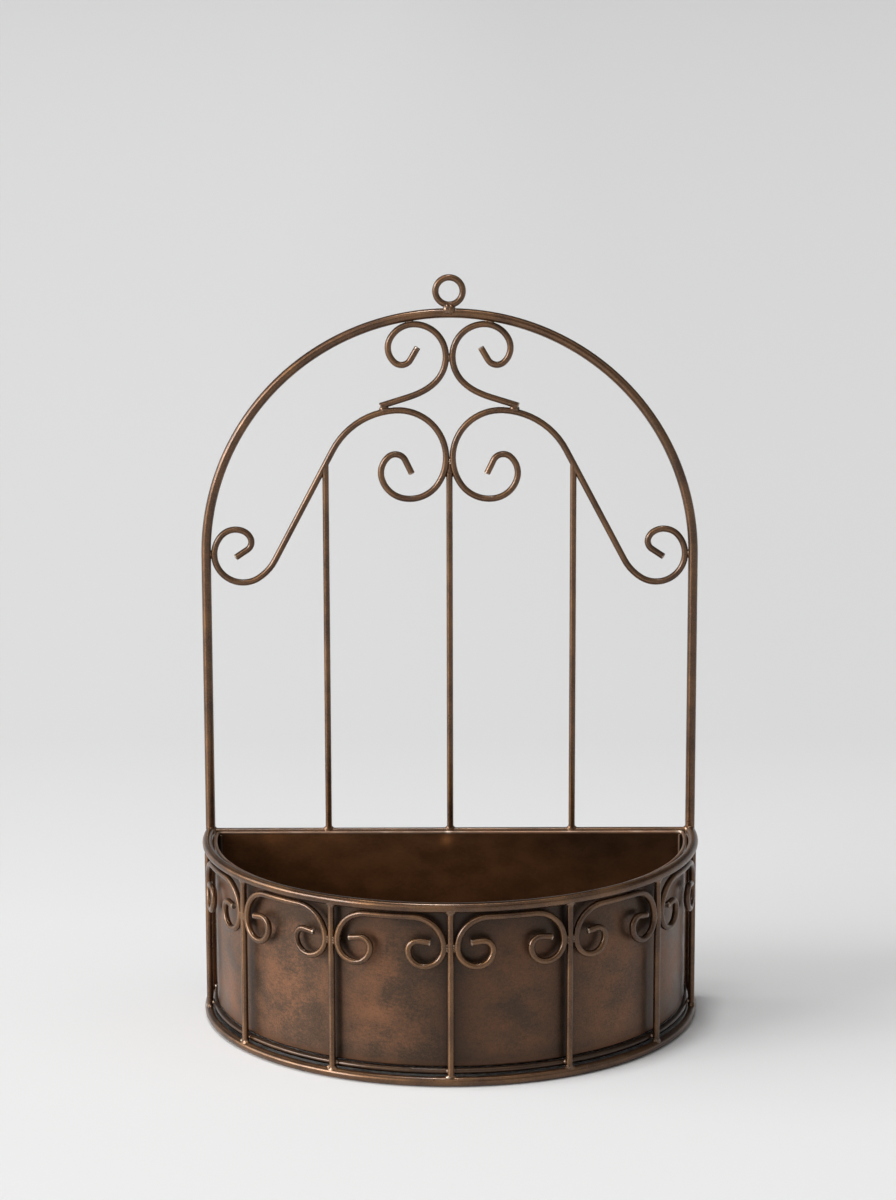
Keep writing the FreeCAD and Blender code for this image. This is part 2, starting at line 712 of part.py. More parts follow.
def basket_scroll_outline():
    """One C-scroll laid flat: X along the basket's round, from the middle of its bay."""
    bay = math.radians(size("upright_pitch")) * BASKET_RADIUS
    half_top = bay / 2 - 2 * LIGHT_RADIUS - GAP - size("scroll_shoulder")
    top = size("rim_height") - HEAVY_RADIUS - size("scroll_drop") - LIGHT_RADIUS
    pieces = [
        (half_top / 2,),
        (half_top / 2,),
        (size("scroll_shoulder"), -90.0),
        (size("scroll_side"), -90.0),
        (size("scroll_bottom"), -90.0),
        (size("scroll_eye"), -98.0),
        (size("scroll_tip"),),
    ]
    right, _ = walk(Vector(0, top, 0), 0, pieces)
    return mirrored(list(reversed(right))) + right[1:]


def build_basket_scrolls():
    flat = basket_scroll_outline()
    for number in range(1, UPRIGHTS):
        middle = math.radians((upright_angle(number) + upright_angle(number + 1)) / 2)
        points = []
        for p in flat:
            angle = middle + p.x / BASKET_RADIUS
            across = BASKET_RADIUS * math.sin(angle)
            points.append(Vector(across, BASKET_Y - BASKET_RADIUS * math.cos(angle), p.y))
        outwards = Vector(points[0].x, points[0].y - BASKET_Y, 0).normalize()
        add_bent_rod("basket_scroll_%d" % number, points, outwards)


# ---------------------------------------------------------------------------------------------
# Liner
# ---------------------------------------------------------------------------------------------
HEM_RADIUS = BASKET_RADIUS - HEAVY_RADIUS - size("rim_clearance")
WALL_RADIUS = HEM_RADIUS - size("hem_lip")
BACK_Y = -HEAVY_RADIUS - size("back_clearance") - size("hem_lip")  # rear face of the back sheet


def add_half_round(sketch, radius, back_y, radius_cell, back_cell):
    """A closed outline: an arc about the basket's axis and a straight back."""
    centre = Vector(0, BASKET_Y, 0)
    reach = math.sqrt(radius**2 - (back_y - BASKET_Y) ** 2)
    left, right = Vector(-reach, back_y, 0), Vector(reach, back_y, 0)
    arc = sketch.addGeometry(Part.Arc(left, centre - Vector(0, radius, 0), right))
    back = sketch.addGeometry(Part.LineSegment(right, left))
    sketch.addConstraint(Sketcher.Constraint("Coincident", arc, 2, back, 1))
    sketch.addConstraint(Sketcher.Constraint("Coincident", back, 2, arc, 1))
    sketch.addConstraint(Sketcher.Constraint("Horizontal", back))
    bind(sketch, "Radius", (arc,), radius, radius_cell)
    bind(sketch, "DistanceX", (-1, 1, arc, 3), 0, "0")
    bind(sketch, "DistanceY", (-1, 1, arc, 3), BASKET_Y, "-sizes.basket_offset")
    bind(sketch, "DistanceY", (-1, 1, back, 1), back_y, back_cell)


def add_pad(body, sketch, name, length_cell):
    pad = body.newObject("PartDesign::Pad", name)
    pad.Profile = sketch
    pad.setExpression("Length", length_cell)
    return pad


def build_liner_wall():
    body = add_body("liner_wall")
    sketch = add_sketch(body, "liner_wall_outline", "XY_Plane", LINER_BOTTOM_CELL)
    thickness = size("liner_sheet")
    end_y = BACK_Y - thickness
    centre = Vector(0, BASKET_Y, 0)
    arcs = []
    ends = []
    for radius in (WALL_RADIUS, WALL_RADIUS - thickness):
        reach = math.sqrt(radius**2 - (end_y - BASKET_Y) ** 2)
        left, right = Vector(-reach, end_y, 0), Vector(reach, end_y, 0)
        arcs.append(sketch.addGeometry(Part.Arc(left, centre - Vector(0, radius, 0), right)))
        ends.append((left, right))
    edges = [
        sketch.addGeometry(Part.LineSegment(ends[0][k], ends[1][k])) for k in (0, 1)
    ]
    for k, edge in enumerate(edges):
        point = k + 1  # an arc starts at its left end and finishes at its right end
        sketch.addConstraint(Sketcher.Constraint("Coincident", edge, 1, arcs[0], point))
        sketch.addConstraint(Sketcher.Constraint("Coincident", edge, 2, arcs[1], point))
        sketch.addConstraint(Sketcher.Constraint("Horizontal", edge))
    end_cell = "%s - sizes.liner_sheet" % LINER_BACK_CELL
    sketch.addConstraint(Sketcher.Constraint("Coincident", arcs[0], 3, arcs[1], 3))
    bind(sketch, "Radius", (arcs[0],), WALL_RADIUS, WALL_RADIUS_CELL)
    bind(
        sketch,
        "Radius",
        (arcs[1],),
        WALL_RADIUS - thickness,
        "%s - sizes.liner_sheet" % WALL_RADIUS_CELL,
    )
    bind(sketch, "DistanceX", (-1, 1, arcs[0], 3), 0, "0")
    bind(sketch, "DistanceY", (-1, 1, arcs[0], 3), BASKET_Y, "-sizes.basket_offset")
    bind(sketch, "DistanceY", (-1, 1, edges[0], 1), end_y, end_cell)
    bind(sketch, "DistanceY", (-1, 1, edges[1], 1), end_y, end_cell)
    height_cell = "%s - %s" % (HEM_BOTTOM_CELL, LINER_BOTTOM_CELL)
    add_pad(body, sketch, "liner_wall_pad", height_cell)
    keep(body, "liner_wall")


def build_liner_back():
    reach_cell = "sqrt(%s^2 - (sizes.basket_offset + %s - sizes.liner_sheet)^2)" % (
        WALL_RADIUS_CELL,
        LINER_BACK_CELL,
    )
    panel = doc.addObject("Part::Box", "liner_back")
    panel.setExpression("Length", "2 * " + reach_cell)
    panel.setExpression("Width", "sizes.liner_sheet")
    panel.setExpression("Height", "%s - %s" % (HEM_BOTTOM_CELL, LINER_BOTTOM_CELL))
    panel.setExpression("Placement.Base.x", "-" + reach_cell)
    panel.setExpression(
        "Placement.Base.y", "%s + %s - sizes.liner_sheet" % (SETBACK_CELL, LINER_BACK_CELL)
    )
    panel.setExpression("Placement.Base.z", LINER_BOTTOM_CELL)
    keep(panel, "liner_back")


def build_liner_floor():
    body = add_body("liner_floor")
    sketch = add_sketch(body, "liner_floor_outline", "XY_Plane", LINER_BOTTOM_CELL)
    add_half_round(
        sketch,
        WALL_RADIUS - size("liner_sheet") - size("sheet_fit"),
        BACK_Y - size("liner_sheet") - size("sheet_fit"),
        "%s - sizes.liner_sheet - sizes.sheet_fit" % WALL_RADIUS_CELL,
        "%s - sizes.liner_sheet - sizes.sheet_fit" % LINER_BACK_CELL,
    )
    add_pad(body, sketch, "liner_floor_pad", "sizes.liner_sheet")
    doc.recompute()
    plain_volume = body.Shape.Volume
    holes = add_sketch(body, "drain_holes", "XY_Plane", LINER_BOTTOM_CELL)
    hole_y = BASKET_Y - BASKET_RADIUS * DRAIN_REACH
    for k in (-1, 0, 1):
        x = k * size("drain_spacing")
        circle = holes.addGeometry(
            Part.Circle(Vector(x, hole_y, 0), Vector(0, 0, 1), size("drain_hole") / 2)
        )
        bind(holes, "Diameter", (circle,), size("drain_hole"), "sizes.drain_hole")
        bind(holes, "DistanceX", (-1, 1, circle, 3), x, "%d * sizes.drain_spacing" % k)
        bind(
            holes,
            "DistanceY",
            (-1, 1, circle, 3),
            hole_y,
            "-sizes.basket_offset - %g * %s" % (DRAIN_REACH, BASKET_RADIUS_CELL),
        )
    cut = body.newObject("PartDesign::Pocket", "drain_pocket")
    cut.Profile = holes
    cut.Type = "ThroughAll"
    cut.Midplane = True
    doc.recompute()
    drained = 3 * math.pi * (size("drain_hole") / 2) ** 2 * size("liner_sheet")
    if abs(plain_volume - body.Shape.Volume - drained) > 0.01 * drained:
        raise RuntimeError("the drain holes are not cut")
    keep(body, "liner_floor")


def build_liner_hem():
    body = add_body("liner_hem")
    sketch = add_sketch(body, "liner_hem_outline", "XY_Plane", HEM_BOTTOM_CELL)
    width = size("liner_sheet") + 2 * size("hem_lip")
    add_half_round(
        sketch,
        HEM_RADIUS,
        BACK_Y + size("hem_lip"),
        HEM_RADIUS_CELL,
        "%s + sizes.hem_lip" % LINER_BACK_CELL,
    )
    add_half_round(
        sketch,
        HEM_RADIUS - width,
        BACK_Y + size("hem_lip") - width,
        "%s - sizes.liner_sheet - 2 * sizes.hem_lip" % HEM_RADIUS_CELL,
        "%s - sizes.liner_sheet - sizes.hem_lip" % LINER_BACK_CELL,
    )
    pad = add_pad(body, sketch, "liner_hem_pad", "sizes.hem_height")
    doc.recompute()
    top = max(range(len(pad.Shape.Faces)), key=lambda k: pad.Shape.Faces[k].CenterOfMass.z)
    edge = body.newObject("PartDesign::Chamfer", "liner_hem_edge")
    edge.Base = (pad, ["Face%d" % (top + 1)])
    edge.setExpression("Size", "sizes.hem_chamfer")
    keep(body, "liner_hem")


# ---------------------------------------------------------------------------------------------
# Build, check and write
# ---------------------------------------------------------------------------------------------
build_arch_hoop()
build_ring_weld(build_hanging_ring())
build_trellis_scrolls()
build_spindles()
build_rails()
build_hoops()
build_uprights()
build_basket_scrolls()
build_liner_wall()
build_liner_back()
build_liner_floor()
build_liner_hem()
doc.recompute()

for item in doc.Objects:
    if "Invalid" in item.State or "Error" in item.State:
        raise RuntimeError("%s failed: %s" % (item.Label, item.State))
for node in nodes:
    if node.Shape.isNull() or not node.Shape.isValid():
        raise RuntimeError("%s has no valid shape" % node.Label)

os.makedirs("parts", exist_ok=True)
for node in nodes:
    node.Shape.exportStep("parts/%s.step" % node.Label)
print("wrote %d sub-parts" % len(nodes))
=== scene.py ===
import math

import bpy
from mathutils import Euler, Matrix, Vector, noise


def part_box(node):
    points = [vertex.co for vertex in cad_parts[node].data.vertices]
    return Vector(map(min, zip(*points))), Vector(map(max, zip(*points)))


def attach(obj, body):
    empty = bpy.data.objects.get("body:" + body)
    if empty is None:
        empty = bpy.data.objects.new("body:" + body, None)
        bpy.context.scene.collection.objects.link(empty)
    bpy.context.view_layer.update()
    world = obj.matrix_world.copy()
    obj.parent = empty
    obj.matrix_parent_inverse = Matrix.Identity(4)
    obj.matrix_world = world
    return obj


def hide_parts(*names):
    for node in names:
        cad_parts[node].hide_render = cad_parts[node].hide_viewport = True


# Half-round wall planter: the looks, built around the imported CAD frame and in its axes. Lengths
# are millimetres, apart from those of the studio floor and the camera, which are metres. Angles
# are degrees. Left and right are as seen from the front.

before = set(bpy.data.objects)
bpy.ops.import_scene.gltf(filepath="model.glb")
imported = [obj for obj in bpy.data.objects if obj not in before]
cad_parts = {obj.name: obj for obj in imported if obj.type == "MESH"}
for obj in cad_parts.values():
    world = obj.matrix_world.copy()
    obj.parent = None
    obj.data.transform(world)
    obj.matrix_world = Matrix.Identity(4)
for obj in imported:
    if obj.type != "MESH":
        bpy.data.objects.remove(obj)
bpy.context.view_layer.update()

MM = 0.001
UP = Vector((0, 0, 1))
BACK = Vector((0, 1, 0))
RIGHT = Vector((1, 0, 0))


def node_box(node):
    """A node's lowest and highest corners."""
    low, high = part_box(node)
    return low / MM, high / MM


def node_height(node):
    """The height of a node's middle."""
    low, high = node_box(node)
    return (low.z + high.z) / 2


# ---- Sizes read from the frame ----
arch_low, arch_high = node_box("arch_hoop")
rim_low, rim_high = node_box("front_rim_rod")
rail_low, rail_high = node_box("back_top_rail")
ring_low, ring_high = node_box("hanging_ring")
support_low, _ = node_box("liner_support_ring")
wall_low, _ = node_box("liner_wall")
hem_low, hem_high = node_box("liner_hem")
_, floor_high = node_box("liner_floor")
_, back_high = node_box("liner_back")

# radii of the two rods
HEAVY = (rim_high.z - rim_low.z) / 2
LIGHT = (rail_high.z - rail_low.z) / 2

LEG_X = arch_high.x - HEAVY
SPRING_Z = arch_high.z - HEAVY - LEG_X
TRELLIS_Y = (arch_low.y + arch_high.y) / 2
RAIL_Z = node_height("back_top_rail")
LOW_RAIL_Z = node_height("back_bottom_rail")
RING_Z = node_height("hanging_ring")
RING_RADIUS = (ring_high.z - ring_low.z) / 2 - LIGHT

# the basket's circle runs through both legs and through the front of the rim
RIM_Z = node_height("front_rim_rod")
BASE_Z = node_height("base_rod")
SUPPORT_Z = node_height("liner_support_ring")
FRONT_Y = rim_low.y + HEAVY
BASKET_DEPTH = TRELLIS_Y - FRONT_Y
BASKET_RADIUS = (LEG_X**2 + BASKET_DEPTH**2) / (2 * BASKET_DEPTH)
BASKET_Y = FRONT_Y + BASKET_RADIUS
LEG_ANGLE = 90 + math.degrees(math.asin((TRELLIS_Y - BASKET_Y) / BASKET_RADIUS))
SUPPORT_RADIUS = BASKET_Y - (support_low.y + LIGHT)

# ---- Sizes that the frame's boxes do not give, as in the CAD source ----
UPRIGHTS = 7
UPRIGHT_PITCH = 27.7
SPINDLE_X = 76.0
SHEET = 1.0  # thickness of the liner's sheets

# long scroll: a loop, a shoulder, a straight run and a curl
VOLUTE_RADIUS = 29.4
VOLUTE_TURN = 93.2
SHOULDER_RADIUS = 46.4
CURL_ENTRY_RADIUS = 29.7
CURL_ENTRY_TURN = 29.8
CURL_RADIUS = 17.6
CURL_RISE = 0.7  # of the curl's middle over the arch's
CURL_X = -(LEG_X - HEAVY - LIGHT)

TWIN_X = -LIGHT  # a trellis scroll's middle line where it touches its twin
CROWN_SIDE_RADIUS = 16.5  # of an upper scroll, where it lies against the arch
SCROLL_SHOULDER = 18.5  # of a basket scroll, where it touches an upright
SCROLL_DROP = 0.9  # from the rim to a basket scroll

# paths in the form that walk() takes
VOLUTE_TURNS = [
    (VOLUTE_RADIUS, -33.2),
    (21.0, -66.9),
    (17.0, -66.0),
    (13.2, -62.7),
    (6.7, -105.5),
    (9.2,),
]
CURL_TURNS = [
    (CURL_RADIUS, -40.8),
    (11.9, -73.3),
    (8.6, -41.8),
    (5.9, -80.3),
    (8.7,),
]
CROWN_TURNS = [
    (22.2, 9.6),
    (19.5, 77.1),
    (CROWN_SIDE_RADIUS, 65.7),
    (12.0, 76.3),
    (6.3, 101.0),
    (8.9,),
]
TAIL_TURNS = [
    (22.2, -45.0),
    (30.5, -17.6),
    (57.0, -10.0),
    (18.0,),
]
SCROLL_TURNS = [
    (SCROLL_SHOULDER, -90.0),
    (11.5, -90.0),
    (9.5, -90.0),
    (6.0, -98.0),
    (6.5,),
]

# how finely paths and rods are divided
ARC_STEP = 6.0  # degrees of a bend between two points, at the most
BEND_SPACING = 4.5  # between two points on a bend, at the most
STRAIGHT_SPACING = 6.0  # between two points on a straight, at the most
ROD_SPACING = 8.0  # between two points on a straight rod, about
ROUND_SIDES = 20
HOOP_STEPS = 96
RING_STEPS = 48


# ---- Paths: tangent straights and arcs ----
def heading(degrees):
    return Vector((math.cos(math.radians(degrees)), math.sin(math.radians(degrees))))


def left_of(degrees):
    return heading(degrees + 90)


def walk(start, degrees, steps):
    """Points of a path of tangent pieces, and its last heading. (length,) runs straight, and
    (radius, turn) bends left, or right where the turn is negative."""
    points = [start.copy()]
    for step in steps:
        if len(step) == 1:
            pieces = max(1, math.ceil(step[0] / STRAIGHT_SPACING))
            first = points[-1]
            points += [first + heading(degrees) * step[0] * k / pieces for k in range(1, pieces + 1)]
            continue
        radius, turn = step
        side = 1 if turn > 0 else -1
        centre = points[-1] + left_of(degrees) * radius * side
        arc = math.radians(abs(turn)) * radius
        pieces = max(2, math.ceil(abs(turn) / ARC_STEP), math.ceil(arc / BEND_SPACING))
        for k in range(1, pieces + 1):
            points.append(centre - left_of(degrees + turn * k / pieces) * radius * side)
        degrees += turn
    return points, degrees


def line(start, end, spacing=ROD_SPACING):
    pieces = max(1, round((end - start).length / spacing))
    return [start.lerp(end, k / pieces) for k in range(pieces + 1)]


def crown_side_centre(start):
    """The middle of the crown's side turn, which lies against the arch."""
    points, degrees = walk(start, 90, CROWN_TURNS[:2])
    return points[-1] + left_of(degrees) * CROWN_SIDE_RADIUS


def crown_height():
    """Where the upper scrolls touch: so high that their side turns lie against the arch."""
    side_turn = crown_side_centre(Vector((TWIN_X, 0)))
    room = LEG_X - HEAVY - LIGHT - CROWN_SIDE_RADIUS
    return SPRING_Z + math.sqrt(room**2 - side_turn.x**2) - side_turn.y


CROWN_WIDEST = Vector((TWIN_X, crown_height()))


def tail_path():
    points, _ = walk(CROWN_WIDEST, 270, TAIL_TURNS)
    return points


TAIL_END = tail_path()[-1]


def shoulder_centre(contact):
    loop_centre = contact - Vector((VOLUTE_RADIUS, 0))
    return loop_centre + left_of(90 + VOLUTE_TURN) * (SHOULDER_RADIUS - VOLUTE_RADIUS)


def volute_contact():
    """Where the long scrolls touch: so high that the upper scroll's tail lies on the shoulder."""
    away = TAIL_END - shoulder_centre(Vector((TWIN_X, 0)))
    seat = SHOULDER_RADIUS + 2 * LIGHT
    return Vector((TWIN_X, away.y - math.sqrt(seat**2 - away.x**2)))


VOLUTE_CONTACT = volute_contact()


def straight_run(degrees):
    """Where a run with this heading leaves the shoulder, and where the curl's entry begins."""
    start = shoulder_centre(VOLUTE_CONTACT) - left_of(degrees) * SHOULDER_RADIUS
    curl_centre = Vector((CURL_X + CURL_RADIUS, SPRING_Z + CURL_RISE))
    entry = degrees - CURL_ENTRY_TURN
    joint = curl_centre + left_of(entry) * CURL_RADIUS
    entry_centre = joint - left_of(entry) * CURL_ENTRY_RADIUS
    return start, entry_centre + left_of(degrees) * CURL_ENTRY_RADIUS


def off_line(degrees):
    """How far a run with this heading passes beside the curl's entry."""
    start, end = straight_run(degrees)
    return (end - start).dot(left_of(degrees))


def run_heading():
    """The heading at which the run meets the curl's entry, found by halving."""
    low, high = 215.0, 268.0
    halvings = 50
    for _ in range(halvings):
        middle = (low + high) / 2
        if off_line(middle) * off_line(low) > 0:
            low = middle
        else:
            high = middle
    return (low + high) / 2


RUN_HEADING = run_heading()


def run_height(x):
    """The height of the left long scroll's straight run at this place."""
    start, _ = straight_run(RUN_HEADING)
    return start.y + math.tan(math.radians(RUN_HEADING)) * (x - start.x)


def long_scroll_path():
    loop, _ = walk(VOLUTE_CONTACT, 270, VOLUTE_TURNS)
    start, end = straight_run(RUN_HEADING)
    turns = [
        (VOLUTE_RADIUS, VOLUTE_TURN),
        (SHOULDER_RADIUS, RUN_HEADING - 90 - VOLUTE_TURN),
        ((end - start).length,),
        (CURL_ENTRY_RADIUS, -CURL_ENTRY_TURN),
        (CURL_RADIUS, 90 - RUN_HEADING + CURL_ENTRY_TURN),
    ]
    arm, _ = walk(VOLUTE_CONTACT, 90, turns + CURL_TURNS)
    return list(reversed(loop)) + arm[1:]


def upper_scroll_path():
    loop, _ = walk(CROWN_WIDEST, 90, CROWN_TURNS)
    return list(reversed(tail_path())) + loop[1:]


def in_trellis(points, mirror=1):
    """Flat points in the trellis's plane. Scrolls are drawn on the left, and mirror is -1 for
    the right."""
    return [Vector((p.x * mirror, TRELLIS_Y, p.y)) for p in points]


def on_basket(degrees, height, radius=BASKET_RADIUS):
    """A point on the basket's round, counted in degrees from the front, positive to the right."""
    angle = math.radians(degrees)
    return Vector((radius * math.sin(angle), BASKET_Y - radius * math.cos(angle), height))


def outwards(degrees):
    return on_basket(degrees, 0, 1) - Vector((0, BASKET_Y, 0))


def along_basket(degrees):
    angle = math.radians(degrees)
    return Vector((math.cos(angle), math.sin(angle), 0))


def from_basket_middle(point):
    return Vector((point.x, point.y - BASKET_Y, 0)).normalized()


def upright_angle(number):
    return (number - (UPRIGHTS + 1) / 2) * UPRIGHT_PITCH


# ---- Materials ----
class Nodes:
    """A short way to write the node tree of a material or a world."""

    def __init__(self, owner):
        owner.use_nodes = True
        self.tree = owner.node_tree

    def add(self, kind, **settings):
        node = self.tree.nodes.new(kind)
        for key, value in settings.items():
            setattr(node, key, value)
        return node

    def link(self, source, target):
        self.tree.links.new(source, target)

    def fill(self, socket, value):
        if isinstance(value, bpy.types.NodeSocket):
            self.link(value, socket)
        else:
            socket.default_value = value

    def split(self, vector):
        node = self.add("ShaderNodeSeparateXYZ")
        self.link(vector, node.inputs[0])
        return node.outputs

    def maths(self, operation, first, second):
        node = self.add("ShaderNodeMath", operation=operation)
        self.fill(node.inputs[0], first)
        self.fill(node.inputs[1], second)
        return node.outputs[0]

    def span(self, value, low, high, out_low=0.0, out_high=1.0):
        """The value carried over from low..high to out_low..out_high, and held at both ends."""
        node = self.add("ShaderNodeMapRange")
        self.link(value, node.inputs["Value"])
        node.inputs["From Min"].default_value = low
        node.inputs["From Max"].default_value = high
        node.inputs["To Min"].default_value = out_low
        node.inputs["To Max"].default_value = out_high
        return node.outputs["Result"]

    def mix(self, share, first, second):
        node = self.add("ShaderNodeMix", data_type="RGBA")
        self.fill(node.inputs["Factor"], share)
        self.fill(node.inputs["A"], first)
        self.fill(node.inputs["B"], second)
        return node.outputs["Result"]


class Paint(Nodes):
    """A material's nodes, with noises that keep to the object."""

    def __init__(self, name):
        self.material = bpy.data.materials.new(name)
        super().__init__(self.material)
        self.shader = self.tree.nodes["Principled BSDF"]
        self.place = self.add("ShaderNodeTexCoord").outputs["Object"]

    def noise(self, size, detail, roughness=0.55, stretch=(1, 1, 1), distortion=0.0):
        """Noise whose features are about this many millimetres across."""
        mapping = self.add("ShaderNodeMapping")
        mapping.inputs["Scale"].default_value = stretch
        self.link(self.place, mapping.inputs["Vector"])
        texture = self.add("ShaderNodeTexNoise")
        self.link(mapping.outputs["Vector"], texture.inputs["Vector"])
        texture.inputs["Scale"].default_value = 1 / (size * MM)
        texture.inputs["Detail"].default_value = detail
        texture.inputs["Roughness"].default_value = roughness
        texture.inputs["Distortion"].default_value = distortion
        return texture.outputs["Fac"]

    def attribute(self, name, output="Fac"):
        return self.add("ShaderNodeAttribute", attribute_name=name).outputs[output]

    def bump(self, height, distance, strength, below=None):
        node = self.add("ShaderNodeBump")
        node.inputs["Distance"].default_value = distance * MM
        node.inputs["Strength"].default_value = strength
        self.link(height, node.inputs["Height"])
        if below:
            self.link(below, node.inputs["Normal"])
        return node.outputs["Normal"]

    def shade(self, socket, value):
        self.fill(self.shader.inputs[socket], value)


def colour(red, green, blue):
    """A colour written as 8-bit screen values."""

    def linear(value):
        value /= 255
        return value / 12.92 if value <= 0.04045 else ((value + 0.055) / 1.055) ** 2.4

    return (linear(red), linear(green), linear(blue), 1.0)


DARK_PATINA = colour(74, 51, 32)
ROD_BRONZE = colour(112, 80, 50)
# bright bronze, for rubbing and for painted highlights
GLINT_AND_RUB_BRONZE = colour(228, 208, 188)
SHEET_BROWN = colour(88, 67, 51)
SHEET_COPPER = colour(143, 96, 66)
SHEET_SHADE = colour(60, 47, 36)
# the darkest colour, for painted shade and for patina
SHEET_PATINA_AND_SHADE = colour(16, 10, 6)
HOLLOW_BROWN = colour(162, 105, 61)
HOLLOW_SHADE = colour(126, 82, 49)
HEAT_TINT = colour(236, 158, 96)


def rod_material(name, glint_and_rub_share, streak=0.0):
    """Half-gloss bronze paint on wire: patchy tone, fine grain, painted shade, and bright marks where
    it catches, for rubbing and as painted highlights. A streak draws the gloss out along the wire."""
    n = Paint(name)
    patches = n.span(n.noise(26, detail=4), 0.38, 0.64)
    grain = n.noise(0.8, detail=2)
    tone = n.mix(patches, DARK_PATINA, ROD_BRONZE)
    tone = n.mix(n.span(grain, 0.45, 0.75, out_high=0.35), tone, SHEET_COPPER)
    tone = n.mix(n.span(grain, 0.5, 0.25, out_high=0.45), tone, SHEET_SHADE)
    # painted shade: the darkest colour where a piece asks for it
    tone = n.mix(n.attribute("patina_and_shade"), tone, SHEET_PATINA_AND_SHADE)
    # bright marks at cut ends and welds: rubbing, and painted highlights
    scuffs = n.span(n.noise(2.2, detail=3), 0.35, 0.6)
    rub_and_glint = n.maths("MULTIPLY", n.attribute("wear"), scuffs)
    tone = n.mix(n.maths("MULTIPLY", rub_and_glint, glint_and_rub_share), tone, GLINT_AND_RUB_BRONZE)
    n.shade("Base Color", tone)
    n.shade("Metallic", 0.8)
    n.shade("Roughness", n.span(n.noise(6, detail=3), 0.3, 0.7, 0.27, 0.35))
    n.shade("Coat Weight", 0.5)
    n.shade("Coat Roughness", 0.14)
    if streak:
        n.shade("Anisotropic", streak)
        n.shade("Tangent", n.attribute("axis", "Vector"))
    ripple = n.bump(n.noise(5.5, detail=2), distance=0.12, strength=0.25)
    n.shade("Normal", n.bump(grain, distance=0.03, strength=0.35, below=ripple))
    return n.material


def sheet_material(name):
    """Clouded copper and brown paint on the liner's sheet."""
    n = Paint(name)
    clouds = n.noise(34, detail=2, roughness=0.4, distortion=0.2)
    blots = n.noise(12, detail=2, roughness=0.4, stretch=(0.75, 0.75, 1.2))
    grain = n.noise(0.8, detail=3, roughness=0.6)
    flecks = n.noise(1.9, detail=3, roughness=0.6, stretch=(0.7, 0.7, 1.3))
    mottle = n.maths("ADD", n.maths("MULTIPLY", clouds, 0.62), n.maths("MULTIPLY", blots, 0.38))
    mottle = n.maths("ADD", mottle, n.span(flecks, 0.3, 0.7, -0.075, 0.075))
    # the copper share carries painted light: more in lit bays, less where shade is painted
    copper = n.maths("MULTIPLY", n.span(mottle, 0.4, 0.64), n.attribute("bay"))
    tone = n.mix(copper, SHEET_BROWN, SHEET_COPPER)
    tone = n.mix(n.span(mottle, 0.5, 0.36, out_high=0.25), tone, SHEET_SHADE)
    tone = n.mix(n.span(grain, 0.5, 0.75, out_high=0.45), tone, SHEET_COPPER)
    tone = n.mix(n.span(grain, 0.5, 0.28, out_high=0.5), tone, SHEET_SHADE)
    hollow = n.mix(n.span(mottle, 0.34, 0.66), HOLLOW_SHADE, HOLLOW_BROWN)
    tone = n.mix(n.attribute("shade"), tone, hollow)
    # painted shade on the wall and the back, and patina on the back's rear face
    tone = n.mix(n.attribute("patina_and_shade"), tone, SHEET_PATINA_AND_SHADE)
    tone = n.mix(n.attribute("tint"), tone, HEAT_TINT)
    # bright marks on the hem, seams and welds: rubbing, and painted highlights
    tone = n.mix(n.attribute("wear"), tone, GLINT_AND_RUB_BRONZE)
    n.shade("Base Color", tone)
    n.shade("Metallic", 0.6)
    n.shade("Roughness", n.span(blots, 0.3, 0.7, 0.33, 0.45))
    n.shade("Normal", n.bump(grain, distance=0.03, strength=0.5))
    return n.material


ROD = rod_material("bronze_rod", glint_and_rub_share=0.75, streak=0.95)
WELD = rod_material("weld_bead", glint_and_rub_share=0.9)
SHEET_PAINT = sheet_material("bronze_sheet")


# ---- Meshes ----
SHARP_ANGLE = 38
CUT_BEVEL = 0.3
CUT_GLINT_AND_WEAR_REACH = 1.2  # how far a cut end is painted bright, for rubbing and as a painted highlight
RIGHT_PAINTED_SHADE = 0.2  # how much painted shade the rods take towards the right leg


def add_piece(name, vertices, faces, material, body, slot, replaced=(), **fields):
    """A smooth piece of the object. Each of fields is a number or a Vector for each vertex,
    which the material reads: wear, deep, bay, shade, tint and axis. The first three also carry
    painted highlights, painted shade and painted light."""
    mesh = bpy.data.meshes.new(name)
    mesh.from_pydata([v * MM for v in vertices], [], faces)
    mesh.materials.append(material)
    for field, values in fields.items():
        if isinstance(values[0], Vector):
            attribute = mesh.attributes.new(field, "FLOAT_VECTOR", "POINT")
            attribute.data.foreach_set("vector", [number for value in values for number in value])
        else:
            attribute = mesh.attributes.new(field, "FLOAT", "POINT")
            attribute.data.foreach_set("value", values)
    mesh.validate()
    mesh.shade_smooth()
    mesh.set_sharp_from_angle(angle=math.radians(SHARP_ANGLE))
    piece = bpy.data.objects.new(name, mesh)
    bpy.context.scene.collection.objects.link(piece)
    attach(piece, body)
    if replaced:
        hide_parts(*replaced)


def add_sheet(name, vertices, faces, replaced=(), **fields):
    add_piece(name, vertices, faces, SHEET_PAINT, "liner", "bronze_sheet", replaced, **fields)


def grid_faces(rows, columns, first=0, around=True, flipped=False):
    """Quads between neighbouring rows of vertices. rows are the rows' numbers, first is the
    number of their first vertex, and around joins the last column to the first."""
    faces = []
    for row, next_row in zip(rows, rows[1:]):
        a, b = first + row * columns, first + next_row * columns
        for c in range(columns if around else columns - 1):
            d = (c + 1) % columns
            if flipped:
                faces.append((a + c, b + c, b + d, a + d))
            else:
                faces.append((a + c, a + d, b + d, b + c))
    return faces


def cut_end(station, inwards):
    """The last stations of a rod at a cut end, which is bevelled and painted bright, for rubbing and
    as a painted highlight. inwards is 1 at the start of the rod and -1 at its end."""
    point, way, radius, _ = station
    return [
        (point, way, radius - CUT_BEVEL, 1.0),
        (point + way * CUT_BEVEL * inwards, way, radius, 0.8),
        (point + way * CUT_GLINT_AND_WEAR_REACH * inwards, way, radius, 0.0),
    ]


